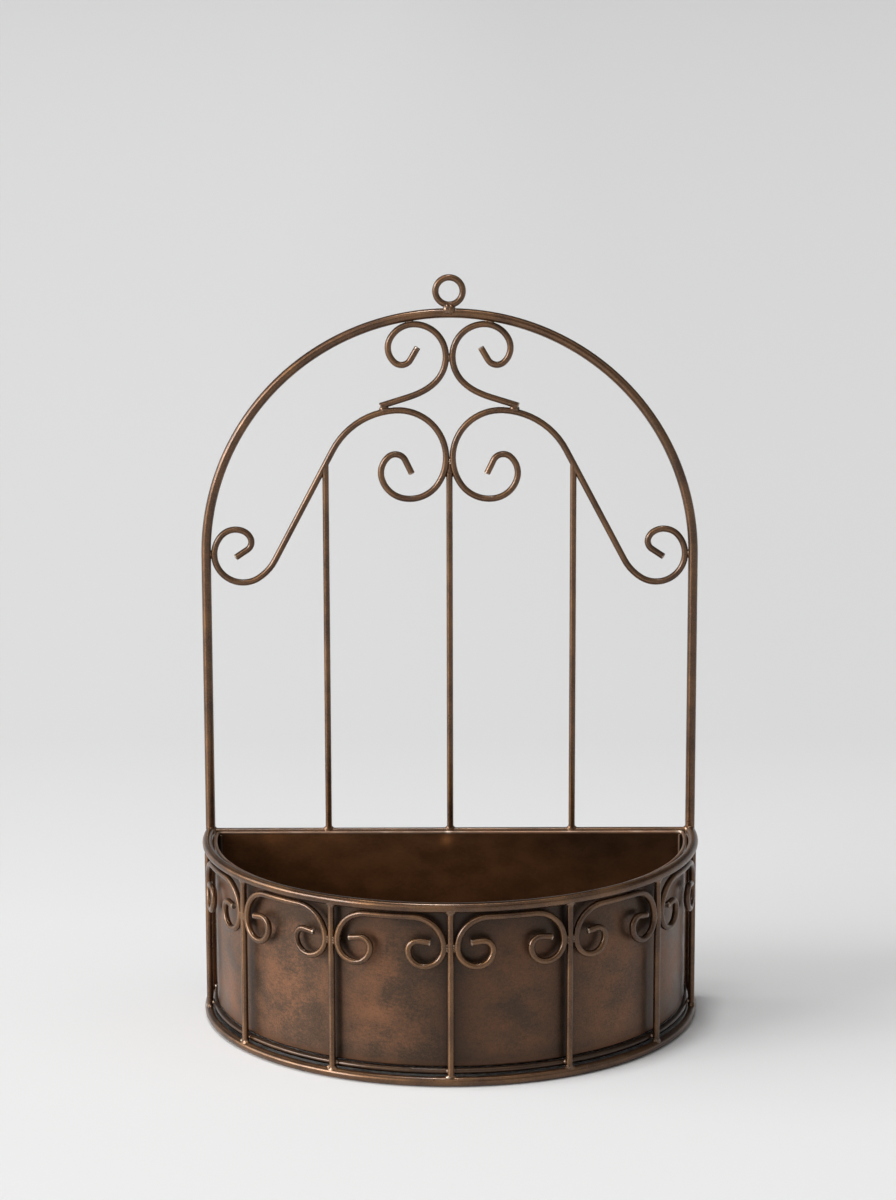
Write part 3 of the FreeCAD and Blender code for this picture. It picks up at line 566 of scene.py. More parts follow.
def tube(points, radius, up, closed=False, cut=True):
    """Vertices, faces, wear and direction of a round rod along the points. up is a direction
    across the rod, or a function that gives it for a point."""
    count = len(points)
    stations = []
    for k, point in enumerate(points):
        before = points[k - 1] if (k or closed) else point
        after = points[(k + 1) % count] if (k + 1 < count or closed) else point
        stations.append((point, (after - before).normalized(), radius, 0.0))
    if cut and not closed:
        start, end = cut_end(stations[0], 1), cut_end(stations[-1], -1)
        stations = start + stations[1:-1] + list(reversed(end))
    vertices, wear, axis = [], [], []
    for point, way, ring_radius, rub_and_glint in stations:
        up_way = up(point) if callable(up) else up
        side_way = way.cross(up_way).normalized()
        up_way = side_way.cross(way)
        for k in range(ROUND_SIDES):
            angle = 2 * math.pi * k / ROUND_SIDES
            rim = side_way * math.cos(angle) + up_way * math.sin(angle)
            vertices.append(point + rim * ring_radius)
            wear.append(rub_and_glint)
            axis.append(way)
    rings = list(range(len(stations)))
    faces = grid_faces(rings + [0] if closed else rings, ROUND_SIDES)
    if not closed:
        last = rings[-1] * ROUND_SIDES
        faces.append(tuple(reversed(range(ROUND_SIDES))))
        faces.append(tuple(range(last, last + ROUND_SIDES)))
    return vertices, faces, wear, axis


def add_rod(name, points, radius, up, patina_and_shade=0.0, **ends):
    vertices, faces, wear, axis = tube(points, radius, up, **ends)
    # painted shade, given by the piece and deepening towards the right leg
    painted_shade = [patina_and_shade + RIGHT_PAINTED_SHADE * max(0.0, v.x / LEG_X) for v in vertices]
    fields = {"wear": wear, "patina_and_shade": painted_shade, "axis": axis}
    add_piece(name + "_round", vertices, faces, ROD, "frame", "bronze_rod", [name], **fields)


class Lumps:
    """Weld metal, gathered into one piece, and painted bright in places for rubbing and as painted
    highlights.
    """

    def __init__(self):
        self.vertices = []
        self.faces = []
        self.wear = []

    def bead(self, centre, size, turn=None, *, rub_and_glint, rough=0.14):
        """A lump with these half sizes."""
        rows, columns = 9, 14
        first = len(self.vertices)
        for r in range(rows + 1):
            tilt = math.pi * r / rows
            level = math.sin(tilt)
            for c in range(columns):
                angle = 2 * math.pi * c / columns
                way = Vector((level * math.cos(angle), level * math.sin(angle), math.cos(tilt)))
                dents = noise.noise(way * 1.6 + centre * 0.37)
                pits = 0.5 * noise.noise(way * 4.0 + centre * 0.71)
                swell = 1 + rough * dents + rough * pits
                place = Vector((way.x * size[0], way.y * size[1], way.z * size[2])) * swell
                if turn is not None:
                    place = turn @ place
                self.vertices.append(centre + place)
                self.wear.append(rub_and_glint)
        self.faces += grid_faces(range(rows + 1), columns, first, flipped=True)

    def collar(self, foot, up, along, rod, carrier, height, flare, rub_and_glint):
        """A concave fillet round a rod that stands on a carrier. foot is where the rod's middle
        line meets the carrier's surface, and along is the carrier's direction."""
        across = up.cross(along).normalized()
        rings, columns = 7, 24
        hollow = 2.4  # how sharply the fillet curves out
        narrowing = 0.45  # of the flare across the carrier
        overhang = 0.97  # how far round the carrier the fillet may reach
        buried = 0.6
        unevenness = 0.05
        first = len(self.vertices)
        for r in range(rings + 1):
            share = r / rings
            rise = height * (1 - share)
            spread = flare * share**hollow
            for c in range(columns):
                angle = 2 * math.pi * c / columns
                lumps = foot * 0.9 + Vector((math.cos(angle), share, 0)) * 2
                jitter = 1 + unevenness * noise.noise(lumps)
                long_way = (rod + spread) * math.cos(angle) * jitter
                cross_way = (rod + spread * narrowing) * math.sin(angle) * jitter
                reach = min(abs(cross_way), carrier * overhang)
                drop = carrier - math.sqrt(carrier**2 - reach**2)
                sink = buried if r == rings else 0.0
                place = foot + along * long_way + across * cross_way
                self.vertices.append(place + up * (rise - drop - sink))
                self.wear.append(rub_and_glint * (0.4 + 0.6 * share))
        self.faces += grid_faces(range(rings + 1), columns, first, flipped=True)

    def web(self, outline, half):
        """A plate of weld in the trellis, with this half thickness and thinner edges. outline
        holds pairs of points, left and right, from the top down."""
        first = len(self.vertices)
        sections = 8
        flatness = 1.35
        for left, right in outline:
            middle, reach = (left + right) / 2, (right.x - left.x) / 2
            for k in range(sections):
                angle = 2 * math.pi * (k + 0.5) / sections
                x = middle.x + max(-1, min(1, flatness * math.cos(angle))) * reach
                y = TRELLIS_Y + half * math.sin(angle)
                self.vertices.append(Vector((x, y, middle.y)))
                self.wear.append(0.0)
        self.faces += grid_faces(range(len(outline)), sections, first)

    def add(self, name, replaced=()):
        made = (self.vertices, self.faces, WELD, "frame", "weld_bead", replaced)
        add_piece(name, *made, wear=self.wear)


# ---- Trellis ----
RAIL_REACH = LEG_X - HEAVY * 0.5  # the rails end inside the legs
SPINDLE_SEAT = LIGHT * 0.4  # a spindle's foot, over the rail's middle line
SPINDLE_DROP = 0.4  # a side spindle's head, under the middle line of the long scroll
CENTRE_DROP = 9.5  # the middle spindle's head, under the long scrolls' contact
RING_WELD_SINK = 0.8  # the ring's weld, in front of and under the top of the arch


def build_arch():
    path, _ = walk(Vector((-LEG_X, 0)), 90, [(SPRING_Z,), (LEG_X, -180.0), (SPRING_Z,)])
    add_rod("arch_hoop", in_trellis(path), HEAVY, BACK)


def build_ring():
    points = []
    for k in range(RING_STEPS):
        angle = 2 * math.pi * k / RING_STEPS
        reach = Vector((math.cos(angle), 0, math.sin(angle))) * RING_RADIUS
        points.append(Vector((0, TRELLIS_Y, RING_Z)) + reach)
    add_rod("hanging_ring", points, LIGHT, BACK, closed=True)


def build_ring_weld():
    """Two lobes that fill the ring's foot."""
    arch_top = SPRING_Z + LEG_X + HEAVY
    centre = Vector((0, TRELLIS_Y - RING_WELD_SINK, arch_top - RING_WELD_SINK))
    weld = Lumps()
    weld.bead(centre + Vector((-1.3, -0.4, 0.1)), (2.7, 3.1, 3.4), rub_and_glint=0.15, rough=0.08)
    weld.bead(centre + Vector((1.0, 0, 0)), (3.1, 3.2, 3.5), rub_and_glint=0.0, rough=0.12)
    weld.add("ring_weld_lump", ["ring_weld"])


def build_trellis_scrolls():
    for mirror, suffix in ((-1, "right"), (1, "left")):
        add_rod("long_scroll_" + suffix, in_trellis(long_scroll_path(), mirror), LIGHT, BACK)
        add_rod("upper_scroll_" + suffix, in_trellis(upper_scroll_path(), mirror), LIGHT, BACK)


def build_spindles():
    side_top = run_height(-SPINDLE_X) - SPINDLE_DROP
    for suffix, x, top in (
        ("left", -SPINDLE_X, side_top),
        ("centre", 0.0, VOLUTE_CONTACT.y - CENTRE_DROP),
        ("right", SPINDLE_X, side_top),
    ):
        foot = Vector((x, TRELLIS_Y, RAIL_Z + SPINDLE_SEAT))
        head = Vector((x, TRELLIS_Y, top))
        add_rod("spindle_" + suffix, line(foot, head), LIGHT, BACK, cut=False)


def build_rails():
    for name, height in (("back_top_rail", RAIL_Z), ("back_bottom_rail", LOW_RAIL_Z)):
        ends = [Vector((side * RAIL_REACH, TRELLIS_Y, height)) for side in (-1, 1)]
        add_rod(name, line(*ends), LIGHT, UP, cut=False)


# ---- Basket ----
HOOP_STOP = HEAVY * 0.7  # from a heavy hoop's end to the middle of a leg, along the hoop
SUPPORT_STOP = 2.6  # the same for the support ring
UPRIGHT_SEAT = HEAVY * 0.8  # from a hoop's middle line to an upright's end
# painted shade on the base rod and on the liner's support ring
BASE_PAINTED_SHADE = 0.08
SUPPORT_PAINTED_SHADE = 0.55


def hoop_path(radius, height, stop):
    reach = LEG_ANGLE - math.degrees(stop / radius)
    angles = [-reach + 2 * reach * k / HOOP_STEPS for k in range(HOOP_STEPS + 1)]
    return [on_basket(angle, height, radius) for angle in angles]


def build_hoops():
    rim = hoop_path(BASKET_RADIUS, RIM_Z, HOOP_STOP)
    base = hoop_path(BASKET_RADIUS, BASE_Z, HOOP_STOP)
    support = hoop_path(SUPPORT_RADIUS, SUPPORT_Z, SUPPORT_STOP)
    add_rod("front_rim_rod", rim, HEAVY, UP)
    add_rod("base_rod", base, HEAVY, UP, BASE_PAINTED_SHADE)
    add_rod("liner_support_ring", support, LIGHT, UP, SUPPORT_PAINTED_SHADE)


def build_uprights():
    for number in range(1, UPRIGHTS + 1):
        angle = upright_angle(number)
        foot = on_basket(angle, BASE_Z + UPRIGHT_SEAT)
        head = on_basket(angle, RIM_Z - UPRIGHT_SEAT)
        add_rod("upright_%d" % number, line(foot, head), LIGHT, outwards(angle), cut=False)


def basket_scroll_outline():
    """One C-scroll laid flat: X along the basket's round, from the middle of its bay."""
    bay = math.radians(UPRIGHT_PITCH) * BASKET_RADIUS
    half_top = bay / 2 - 2 * LIGHT - SCROLL_SHOULDER
    top = RIM_Z - HEAVY - SCROLL_DROP - LIGHT
    right, _ = walk(Vector((0, top)), 0, [(half_top,)] + SCROLL_TURNS)
    return [Vector((-p.x, p.y)) for p in reversed(right)] + right[1:]


def build_basket_scrolls():
    flat = basket_scroll_outline()
    for number in range(1, UPRIGHTS):
        middle = (upright_angle(number) + upright_angle(number + 1)) / 2
        points = [on_basket(middle + math.degrees(p.x / BASKET_RADIUS), p.y) for p in flat]
        add_rod("basket_scroll_%d" % number, points, LIGHT, from_basket_middle)


# ---- Welds ----
# Half sizes of the beads. Those at the uprights lie along the basket's round, out of it and up.
TWIN_BEAD = (0.7, 0.6, 0.65)
CROWN_BEAD = (0.7, 0.8, 2.4)
CURL_BEAD = (0.9, 1.6, 2.6)
TAIL_BEAD = (3.1, 2.2, 2.4)
TAIL_LOBE = (1.3, 1.8, 2.0)
SPINDLE_BEAD = (2.0, 2.03, 4.6)
ARCH_BEAD = (2.8, 1.5, 0.8)
FOOT_BEAD = (1.5, 1.2, 1.1)
SUPPORT_BEAD = (1.2, 0.9, 1.3)
SCROLL_BEAD = (0.75, 1.0, 1.0)
RIM_END_BEAD = (3.1, 1.6, 3.1)
BASE_END_BEAD = (2.79, 1.6, 2.79)
SUPPORT_END_BEAD = (1.9, 1.9, 1.8)

# How far the beads lie from their joints, in the same directions
TAIL_OFFSET = Vector((2.5, -0.2, -1.8))
LOBE_OFFSETS = {1: Vector((1.5, -0.6, -1.7)), -1: Vector((1.7, -0.6, -1.7))}
SPINDLE_OFFSET = Vector((-0.4, 0, -3.0))
FOOT_OFFSET = Vector((-1.4, 1.3, 0.2))
SUPPORT_RISE, SUPPORT_SPREAD = 0.6, 1.6
SCROLL_BEAD_STEP, SCROLL_BEAD_OUT = 1.5, 0.7

RUN_LEAN = 14  # of the filled top of a side spindle
GLINT_FEET = (1, 2, 4)  # uprights whose foot weld has a painted highlight


def mirrored(place, mirror):
    return Vector((place.x * mirror, place.y, place.z))


def weld_straight_rods(welds):
    for x in (-SPINDLE_X, 0.0, SPINDLE_X):
        foot = Vector((x, TRELLIS_Y, RAIL_Z + LIGHT))
        welds.collar(foot, UP, RIGHT, LIGHT, LIGHT, height=1.8, flare=1.5, rub_and_glint=0.0)
    for side in (-1, 1):
        for height in (RAIL_Z, LOW_RAIL_Z):
            foot = Vector((side * (LEG_X - HEAVY), TRELLIS_Y, height))
            welds.collar(foot, RIGHT * -side, UP, LIGHT, HEAVY, height=1.4, flare=1.2, rub_and_glint=0.0)


def weld_twins(welds):
    """Beads in front of and behind the places where left and right scrolls touch."""
    first_drop, drop_step = 1.0, 1.1
    volute_proud, crown_proud, crown_drop = 1.3, 0.8, 0.5
    for face in (-1, 1):
        for k, x in enumerate((0.5, 0.3, 0.6)):
            height = VOLUTE_CONTACT.y - first_drop - drop_step * k
            welds.bead(Vector((x, TRELLIS_Y + face * volute_proud, height)), TWIN_BEAD, rub_and_glint=0.5)
        crown = Vector((0, TRELLIS_Y + face * crown_proud, CROWN_WIDEST.y - crown_drop))
        welds.bead(crown, CROWN_BEAD, rub_and_glint=0.1)


def weld_twin_gap(welds):
    """The gap between the two big loops, filled above the middle spindle."""
    outer = VOLUTE_RADIUS + LIGHT
    overlap = 0.35
    outline = []
    for drop in (2.0, 3.5, 5.0, 6.5, 8.0, 9.5, 11.0, 11.8):
        reach = outer - math.sqrt(outer**2 - drop**2) + overlap
        height = VOLUTE_CONTACT.y - drop
        outline.append((Vector((-reach, height)), Vector((reach, height))))
    welds.web(outline, half=0.9)


def weld_curls_and_tails(welds):
    """The lower curls on the legs, and the ends of the tails on the long scrolls' shoulders."""
    curl = Vector((-(LEG_X - HEAVY), TRELLIS_Y, SPRING_Z + CURL_RISE))
    tail = Vector((TAIL_END.x, TRELLIS_Y, TAIL_END.y))
    for mirror in (1, -1):
        end = mirrored(tail + TAIL_OFFSET, mirror)
        lobe = mirrored(tail + LOBE_OFFSETS[mirror], mirror)
        welds.bead(mirrored(curl, mirror), CURL_BEAD, rub_and_glint=0.15)
        welds.bead(end, TAIL_BEAD, rub_and_glint=0.0, rough=0.08)
        welds.bead(lobe, TAIL_LOBE, rub_and_glint=0.2, rough=0.05)


def weld_spindle_tops(welds):
    """The slant tops of the side spindles, filled flush with the long scrolls."""
    joint = Vector((-SPINDLE_X, TRELLIS_Y, run_height(-SPINDLE_X))) + SPINDLE_OFFSET
    for mirror in (1, -1):
        turn = Matrix.Rotation(math.radians(mirror * RUN_LEAN), 3, "Y")
        welds.bead(mirrored(joint, mirror), SPINDLE_BEAD, turn, rub_and_glint=0.05, rough=0.02)


def weld_crown_to_arch(welds):
    arch_middle = Vector((0, SPRING_Z))
    away = (crown_side_centre(CROWN_WIDEST) - arch_middle).normalized()
    touch = arch_middle + away * (LEG_X - HEAVY)
    for mirror in (1, -1):
        place = Vector((mirror * touch.x, TRELLIS_Y, touch.y))
        turn = Matrix.Rotation(math.atan2(mirror * away.x, away.y), 3, "Y")
        welds.bead(place, ARCH_BEAD, turn, rub_and_glint=0.2)


def build_trellis_welds():
    welds = Lumps()
    weld_straight_rods(welds)
    weld_twins(welds)
    weld_twin_gap(welds)
    weld_curls_and_tails(welds)
    weld_spindle_tops(welds)
    weld_crown_to_arch(welds)
    welds.add("trellis_welds")


def basket_turn(degrees):
    """The turn to the directions along the basket's round, out of it and up."""
    return Matrix((along_basket(degrees), outwards(degrees), UP)).transposed()


def weld_uprights(welds):
    for number in range(1, UPRIGHTS + 1):
        angle = upright_angle(number)
        way, turn = along_basket(angle), basket_turn(angle)
        head = on_basket(angle, RIM_Z - HEAVY)
        foot = on_basket(angle, BASE_Z + HEAVY)
        welds.collar(head, -UP, way, LIGHT, HEAVY, height=2.0, flare=1.9, rub_and_glint=0.1)
        welds.collar(foot, UP, way, LIGHT, HEAVY, height=1.7, flare=1.6, rub_and_glint=0.1)
        rub_and_glint = 1.0 if number in GLINT_FEET else 0.15
        welds.bead(foot + turn @ FOOT_OFFSET, FOOT_BEAD, turn, rub_and_glint=rub_and_glint, rough=0.3)
        inner = on_basket(angle, SUPPORT_Z + SUPPORT_RISE, BASKET_RADIUS - LIGHT)
        for side in (-1, 1):
            welds.bead(inner + way * side * SUPPORT_SPREAD, SUPPORT_BEAD, turn, rub_and_glint=0.35)


def weld_basket_scrolls(welds):
    """Three beads one over the other, where a scroll touches an upright."""
    contact_z = RIM_Z - HEAVY - SCROLL_DROP - LIGHT - SCROLL_SHOULDER
    for number in range(1, UPRIGHTS + 1):
        angle = upright_angle(number)
        turn = basket_turn(angle)
        for side in (-1, 1):
            # no scroll stands outside the outer uprights
            if (number, side) in ((1, -1), (UPRIGHTS, 1)):
                continue
            for step in (-1, 0, 1):
                offset = Vector((side * LIGHT, SCROLL_BEAD_OUT, step * SCROLL_BEAD_STEP))
                place = on_basket(angle, contact_z) + turn @ offset
                welds.bead(place, SCROLL_BEAD, turn, rub_and_glint=0.1)


def weld_hoop_ends(welds):
    leg_front = TRELLIS_Y - HEAVY + 0.2
    support_angle, support_radius = LEG_ANGLE - 0.6, SUPPORT_RADIUS + 0.8
    for side in (-1, 1):
        for height, size in ((RIM_Z, RIM_END_BEAD), (BASE_Z, BASE_END_BEAD)):
            place = Vector((side * LEG_X, leg_front, height))
            welds.bead(place, size, rub_and_glint=0.25, rough=0.1)
        end = on_basket(side * support_angle, SUPPORT_Z, support_radius)
        welds.bead(end, SUPPORT_END_BEAD, rub_and_glint=0.8, rough=0.25)


def build_basket_welds():
    welds = Lumps()
    weld_uprights(welds)
    weld_basket_scrolls(welds)
    weld_hoop_ends(welds)
    welds.add("basket_welds")


# ---- Liner ----
WALL_RADIUS = BASKET_Y - wall_low.y
WALL_BOTTOM = wall_low.z
LINER_TOP = hem_high.z
HEM_ROUND = (hem_high.z - hem_low.z) / 2
HEM_RADIUS = BASKET_Y - hem_low.y - HEM_ROUND
SHEET_TOP = LINER_TOP - HEM_ROUND
REAR_Y = back_high.y
INSIDE_Y = REAR_Y - SHEET  # inner face of the back sheet
FOOT_ROUND = 1.2  # outer radius of the wall's foot
SEAM_RADIUS = 0.9
SEAM_SPACING = 6

# how much copper the bays show, counted from the middle of the front; more on the left, as painted
# light
BAY_COPPER_AND_LIGHT = {-3: 0.8, -2: 1.0, -1: 0.9, 0: 0.7, 1: 0.65, 2: 0.6}
OUTER_COPPER_AND_LIGHT = 0.6
# painted shade: how much darker a bay is beside its uprights
BAY_EDGES = {-2: 0.15, -1: 0.35, 0: 0.35, 1: 0.25}
OUTER_EDGES = 0.1
# painted shade: how deep the dark line behind each upright is
LINE_DEPTH = {-2: 0.3, -1: 0.55, 0: 0.4, 1: 0.55, 2: 0.35}
OUTER_LINE = 0.3
LINE_REACH = 1.35  # degrees
# painted shade: the darker middle right of the front
DIM_DEPTH, DIM_ANGLE, DIM_REACH = 0.48, 8, 30
# painted shade: the dark bands under the rim and at the foot
RIM_BAND_DEPTH, RIM_BAND_REACH = 0.45, 27
FOOT_BAND_DEPTH, FOOT_BAND_REACH = 0.3, 7
HOLLOW_PAINTED_SHADE = 0.96  # painted shade on the wall's inside
REAR_DEPTH = 0.25  # patina of the back's rear face
# how much the faces have of the hollow's colours
FOOT_SHADE, WALL_INSIDE_SHADE, HEM_SHADE = 0.35, 0.75, 0.3
BACK_INSIDE_SHADE, BACK_REAR_SHADE = 0.9, 0.3
# how far over the foot and under the mouth copper starts to fade, as painted shade
FOOT_FADE, MOUTH_FADE = 14, 30
HEAT_SPOT = Vector((-2.5, 0, SHEET_TOP - 4.5))


def bell(distance, reach):
    """1 in the middle and nearly 0 at twice the reach."""
    return math.exp(-((distance / reach) ** 2))


def bay_copper_and_light(degrees, height):
    """How much copper shows, with painted light and shade: most in the middle of a bay, little
    beside an upright, under the rim and at the foot."""
    bay, share = divmod(degrees / UPRIGHT_PITCH, 1.0)
    across = BAY_COPPER_AND_LIGHT.get(bay, OUTER_COPPER_AND_LIGHT) * math.sin(math.pi * share) ** 0.7
    ends = min(1.0, (height - WALL_BOTTOM) / FOOT_FADE, (LINER_TOP - height) / MOUTH_FADE)
    return 0.1 + 0.9 * across * max(0.0, ends) ** 0.7


def bay_painted_shade(degrees, height):
    """How much painted shade the wall takes: dark lines behind the uprights, a dark band under the
    rim, a darker foot, and a darker middle right of the front."""
    nearest = round(degrees / UPRIGHT_PITCH)
    beside = degrees - nearest * UPRIGHT_PITCH
    bay, share = divmod(degrees / UPRIGHT_PITCH, 1.0)
    light = 1 - LINE_DEPTH.get(nearest, OUTER_LINE) * bell(beside, LINE_REACH)
    light *= 1 - DIM_DEPTH * bell(degrees - DIM_ANGLE, DIM_REACH)
    light *= 1 - BAY_EDGES.get(bay, OUTER_EDGES) * (1 - math.sin(math.pi * share)) ** 1.3
    light *= 1 - RIM_BAND_DEPTH * bell(LINER_TOP - height, RIM_BAND_REACH)
    light *= 1 - FOOT_BAND_DEPTH * bell(height - WALL_BOTTOM, FOOT_BAND_REACH)
    return 1 - light


def wall_section():
    """Radius, height and shade round the wall's section: up its outside and down its inside."""
    rows = []
    for turn in (0.0, 0.4, 0.8, 1.2, 1.571):
        inset = -FOOT_ROUND * (1 - math.sin(turn))
        rise = FOOT_ROUND * (1 - math.cos(turn))
        rows.append((WALL_RADIUS + inset, WALL_BOTTOM + rise, FOOT_SHADE))
    steps = 24
    outside = SHEET_TOP - WALL_BOTTOM - FOOT_ROUND
    inside = SHEET_TOP - WALL_BOTTOM - SHEET
    for k in range(1, steps + 1):
        rows.append((WALL_RADIUS, WALL_BOTTOM + FOOT_ROUND + outside * k / steps, 0.0))
    for k in range(steps, -1, -1):
        rows.append((WALL_RADIUS - SHEET, WALL_BOTTOM + SHEET + inside * k / steps, WALL_INSIDE_SHADE))
    return rows


def build_liner_wall():
    """The curved sheet, with its foot turned under and a faint waviness."""
    corner = math.degrees(math.acos((BASKET_Y - INSIDE_Y) / WALL_RADIUS))
    columns = 280
    rows = wall_section()
    vertices, bay, shade, patina_and_shade = [], [], [], []
    for radius, height, dark in rows:
        for c in range(columns + 1):
            degrees = -corner + 2 * corner * c / columns
            wave = 0.16 * noise.noise(Vector((degrees * 0.05, height * 0.02, 3.1)))
            vertices.append(on_basket(degrees, height, radius + wave))
            bay.append(bay_copper_and_light(degrees, height))
            inside = radius <= WALL_RADIUS - SHEET
            patina_and_shade.append(HOLLOW_PAINTED_SHADE if inside else bay_painted_shade(degrees, height))
            shade.append(dark)
    faces = grid_faces(list(range(len(rows))) + [0], columns + 1, around=False)
    fields = {"bay": bay, "shade": shade, "patina_and_shade": patina_and_shade}
    add_sheet("liner_wall_sheet", vertices, faces, ["liner_wall"], **fields)


def hollow_painted_shade(x, z):
    """How much painted shade the back's inner face takes: more to the right and at the top."""
    to_right = min(1.0, max(0.0, (x + 110) / 210)) ** 0.6
    return 0.62 * to_right + 0.22 * bell(SHEET_TOP - z, 22)


def heat_glow(x, z):
    """The heat colour round the small weld at the top of the back."""
    away = (x - HEAT_SPOT.x) ** 2 + (z - HEAT_SPOT.z) ** 2
    return 0.34 * math.exp(-away / 12) + 0.04 * math.exp(-away / 150)


def back_border(columns, rows):
    """The numbers of the vertices round the back's edge."""
    width = columns + 1
    border = list(range(width))
    border += [r * width + columns for r in range(1, rows + 1)]
    border += [rows * width + c for c in range(columns - 1, -1, -1)]
    border += [r * width for r in range(rows - 1, 0, -1)]
    return border


def build_liner_back():
    """The flat sheet, with a faint waviness inwards away from its edges."""
    reach = math.sqrt(WALL_RADIUS**2 - (INSIDE_Y - BASKET_Y) ** 2)
    columns, rows = 145, 49
    calm_sides, calm_ends = 12, 10  # how near to the edges the waves die out
    vertices, bay, shade, tint, patina_and_shade = [], [], [], [], []
    for face_y, dark in ((INSIDE_Y, BACK_INSIDE_SHADE), (REAR_Y, BACK_REAR_SHADE)):
        for r in range(rows + 1):
            for c in range(columns + 1):
                x = -reach + 2 * reach * c / columns
                z = WALL_BOTTOM + (SHEET_TOP - WALL_BOTTOM) * r / rows
                wave = 0.2 * noise.noise(Vector((x * 0.02, 7.7, z * 0.025)))
                to_end = min(z - WALL_BOTTOM, SHEET_TOP - z)
                wave *= min(1.0, (reach - abs(x)) / calm_sides, to_end / calm_ends)
                vertices.append(Vector((x, face_y + min(0.0, wave), z)))
                bay.append(0.8)
                shade.append(dark)
                patina_and_shade.append(hollow_painted_shade(x, z) if face_y < REAR_Y else REAR_DEPTH)
                tint.append(heat_glow(x, z))
    width = columns + 1
    rear = width * (rows + 1)
    faces = grid_faces(range(rows + 1), width, around=False)
    faces += grid_faces(range(rows + 1), width, rear, around=False, flipped=True)
    border = back_border(columns, rows)
    for a, b in zip(border, border[1:] + border[:1]):
        faces.append((a, a + rear, b + rear, b))
    fields = {"bay": bay, "shade": shade, "tint": tint, "patina_and_shade": patina_and_shade}
    add_sheet("liner_back_sheet", vertices, faces, ["liner_back"], **fields)


def hem_path():
    """The middle line of the rolled edge, once round the mouth, and its two rear corners."""
    back_y = hem_high.y - HEM_ROUND
    corner = math.degrees(math.acos((BASKET_Y - back_y) / HEM_RADIUS))
    front_steps, back_steps = 150, 241
    path = []
    for k in range(front_steps + 1):
        degrees = -corner + 2 * corner * k / front_steps
        path.append(on_basket(degrees, SHEET_TOP, HEM_RADIUS))
    left, right = path[0], path[-1]
    path += [right.lerp(left, k / back_steps) for k in range(1, back_steps)]
    return path, left, right


def build_liner_hem():
    """The edge, rolled round the whole mouth and bent round at its rear corners."""
    path, left, right = hem_path()
    corner_reach = 3.0
    smooth = []
    for k, point in enumerate(path):
        if min((point - left).length, (point - right).length) < corner_reach:
            before, after = path[k - 1], path[(k + 1) % len(path)]
            point = point * 0.5 + (before + after) * 0.25
        smooth.append(point)
    vertices, faces, _, _ = tube(smooth, HEM_ROUND, UP, closed=True)
    bay = [0.6] * len(vertices)
    shade = [HEM_SHADE] * len(vertices)
    # rubbing and painted highlights: spots at the right rear corner and back middle, and the top
    corner_spot = right + Vector((-1, 0, 0))
    middle_spot = Vector((-1.4, left.y, LINER_TOP))
    wear = []
    for v in vertices:
        glints = math.exp(-((v - corner_spot).length ** 2) / 5)
        glints += math.exp(-((v - middle_spot).length ** 2) / 2.5)
        top_rub_and_glint = max(0.0, noise.noise(v * 0.09)) * 0.4 if v.z > SHEET_TOP else 0.0
        wear.append(min(1.0, 0.12 + top_rub_and_glint + glints))
    add_sheet("liner_hem_roll", vertices, faces, ["liner_hem"], bay=bay, shade=shade, wear=wear)


def build_liner_seams():
    """The folded seam in each inside corner."""
    reach = math.sqrt((WALL_RADIUS - SHEET) ** 2 - (INSIDE_Y - BASKET_Y) ** 2)
    for side, suffix in ((-1, "left"), (1, "right")):
        foot = Vector((side * (reach - 1.3), INSIDE_Y - 0.35, floor_high.z))
        head = foot + UP * (LINER_TOP - 2 * HEM_ROUND - floor_high.z)
        vertices, faces, _, _ = tube(line(foot, head, SEAM_SPACING), SEAM_RADIUS, BACK)
        # the seam is half way to the darkest colour, and its front side a little brighter
        fields = {key: [0.5] * len(vertices) for key in ("bay", "shade", "patina_and_shade")}
        wear = [0.12 if v.y < foot.y - 0.4 else 0.0 for v in vertices]
        add_sheet("liner_seam_" + suffix, vertices, faces, wear=wear, **fields)


def paint_liner_floor():
    liner_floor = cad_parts["liner_floor"]
    liner_floor.data.materials.clear()
    liner_floor.data.materials.append(SHEET_PAINT)


build_arch()
build_ring()
build_ring_weld()
build_trellis_scrolls()
build_spindles()
build_rails()
build_hoops()
build_uprights()
build_basket_scrolls()
build_trellis_welds()
build_basket_welds()
build_liner_wall()
build_liner_back()
build_liner_hem()
build_liner_seams()
paint_liner_floor()


# ---- Stage, light and camera ----
def build_floor():
    """A wide pale floor, with painted light: a little paler in front and on the left, and darker
    further back.
    """
    n = Paint("studio_floor")
    place = n.split(n.place)
    near = n.span(place["Y"], -0.3, 0.3, 0.84, 0.805)
    middle = n.span(place["Y"], 0.25, 0.75, 0.0, -0.095)
    far = n.span(place["Y"], 2.0, 14.0, 0.0, -0.06)
    side = n.span(place["X"], -0.3, 0.3, 0.02, -0.02)
    tone = n.maths("ADD", n.maths("ADD", near, middle), n.maths("ADD", far, side))
    n.shade("Base Color", tone)
    n.shade("Roughness", 0.8)
    n.shade("Specular IOR Level", 0.1)
    half = 60.0
    mesh = bpy.data.meshes.new("studio_floor")
    corners = [(-half, -half, 0), (half, -half, 0), (half, half, 0), (-half, half, 0)]
    mesh.from_pydata(corners, [], [(0, 1, 2, 3)])
    mesh.materials.append(n.material)
    floor = bpy.data.objects.new("studio_floor", mesh)
    bpy.context.scene.collection.objects.link(floor)


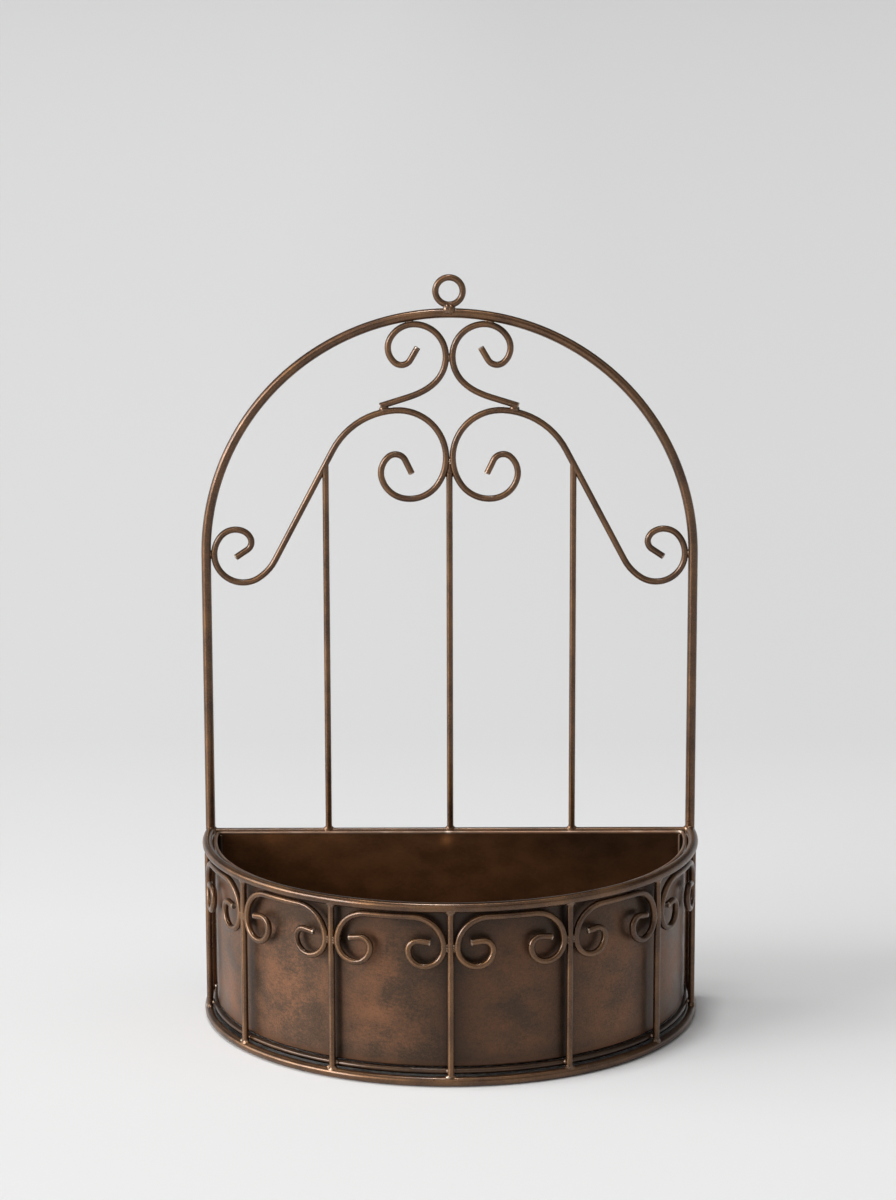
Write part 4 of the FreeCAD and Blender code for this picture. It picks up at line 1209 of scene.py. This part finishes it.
def build_room():
    """A dim room, a little brighter on the left. Low down it has a pale wall all round, which
    only the camera, reflections and rays through glass meet."""
    world = bpy.data.worlds.new("studio")
    bpy.context.scene.world = world
    n = Nodes(world)
    way = n.split(n.add("ShaderNodeTexCoord").outputs["Generated"])
    room = n.tree.nodes["Background"]
    n.link(n.span(way["X"], -1.0, 1.0, 0.22, 0.0), room.inputs["Color"])
    wall = n.add("ShaderNodeBackground")
    wall.inputs["Color"].default_value = (0.6, 0.6, 0.6, 1)
    ray = n.add("ShaderNodeLightPath").outputs
    seen = n.maths("MAXIMUM", ray["Is Camera Ray"], ray["Is Glossy Ray"])
    seen = n.maths("MAXIMUM", seen, ray["Is Transmission Ray"])
    low = n.span(way["Z"], 0.17, 0.3, 1.0, 0.0)
    choice = n.add("ShaderNodeMixShader")
    n.link(n.maths("MULTIPLY", seen, low), choice.inputs[0])
    n.link(room.outputs[0], choice.inputs[1])
    n.link(wall.outputs[0], choice.inputs[2])
    n.link(choice.outputs[0], n.tree.nodes["World Output"].inputs["Surface"])


def add_sun(name, azimuth, height, spread, power):
    """A lamp far away. The azimuth runs from the camera's side round to the left."""
    lamp = bpy.data.lights.new(name, "SUN")
    lamp.energy = power
    lamp.angle = math.radians(spread)
    azimuth, height = math.radians(azimuth), math.radians(height)
    level = math.cos(height)
    way = Vector((math.sin(azimuth) * level, math.cos(azimuth) * level, -math.sin(height)))
    sun = bpy.data.objects.new(name, lamp)
    sun.rotation_euler = way.to_track_quat("-Z", "Y").to_euler()
    bpy.context.scene.collection.objects.link(sun)


def build_lamps():
    """Broad low lamps on the left, and soft ones from above, in front and the right."""
    add_sun("key", azimuth=60, height=22, spread=24, power=1.3)
    add_sun("key_side", azimuth=75, height=14, spread=24, power=1.1)
    add_sun("key_low", azimuth=50, height=10, spread=18, power=0.8)
    add_sun("side", azimuth=96, height=20, spread=28, power=0.6)
    add_sun("overhead", azimuth=75, height=85.5, spread=12, power=1.15)
    add_sun("front", azimuth=15, height=60, spread=60, power=0.5)
    add_sun("fill", azimuth=-70, height=40, spread=50, power=0.26)


def build_camera():
    """The photograph's camera: from the front, looking down, with a long lens."""
    camera = bpy.data.cameras.new("camera")
    camera.sensor_width = 36.0
    camera.lens = 108.06
    away, across, height = 2.1767, -0.001065, 0.71943
    down, roll = 12.0, 0.1375
    view = bpy.data.objects.new("camera", camera)
    view.location = (across, TRELLIS_Y * MM - away, height)
    look = Euler((math.radians(90 - down), 0, 0)).to_matrix()
    spin = Matrix.Rotation(math.radians(-roll), 3, "Z")
    view.rotation_euler = (look @ spin).to_euler()
    bpy.context.scene.collection.objects.link(view)
    bpy.context.scene.camera = view


build_floor()
build_room()
build_lamps()
build_camera()
bpy.context.scene.view_settings.view_transform = "Standard"
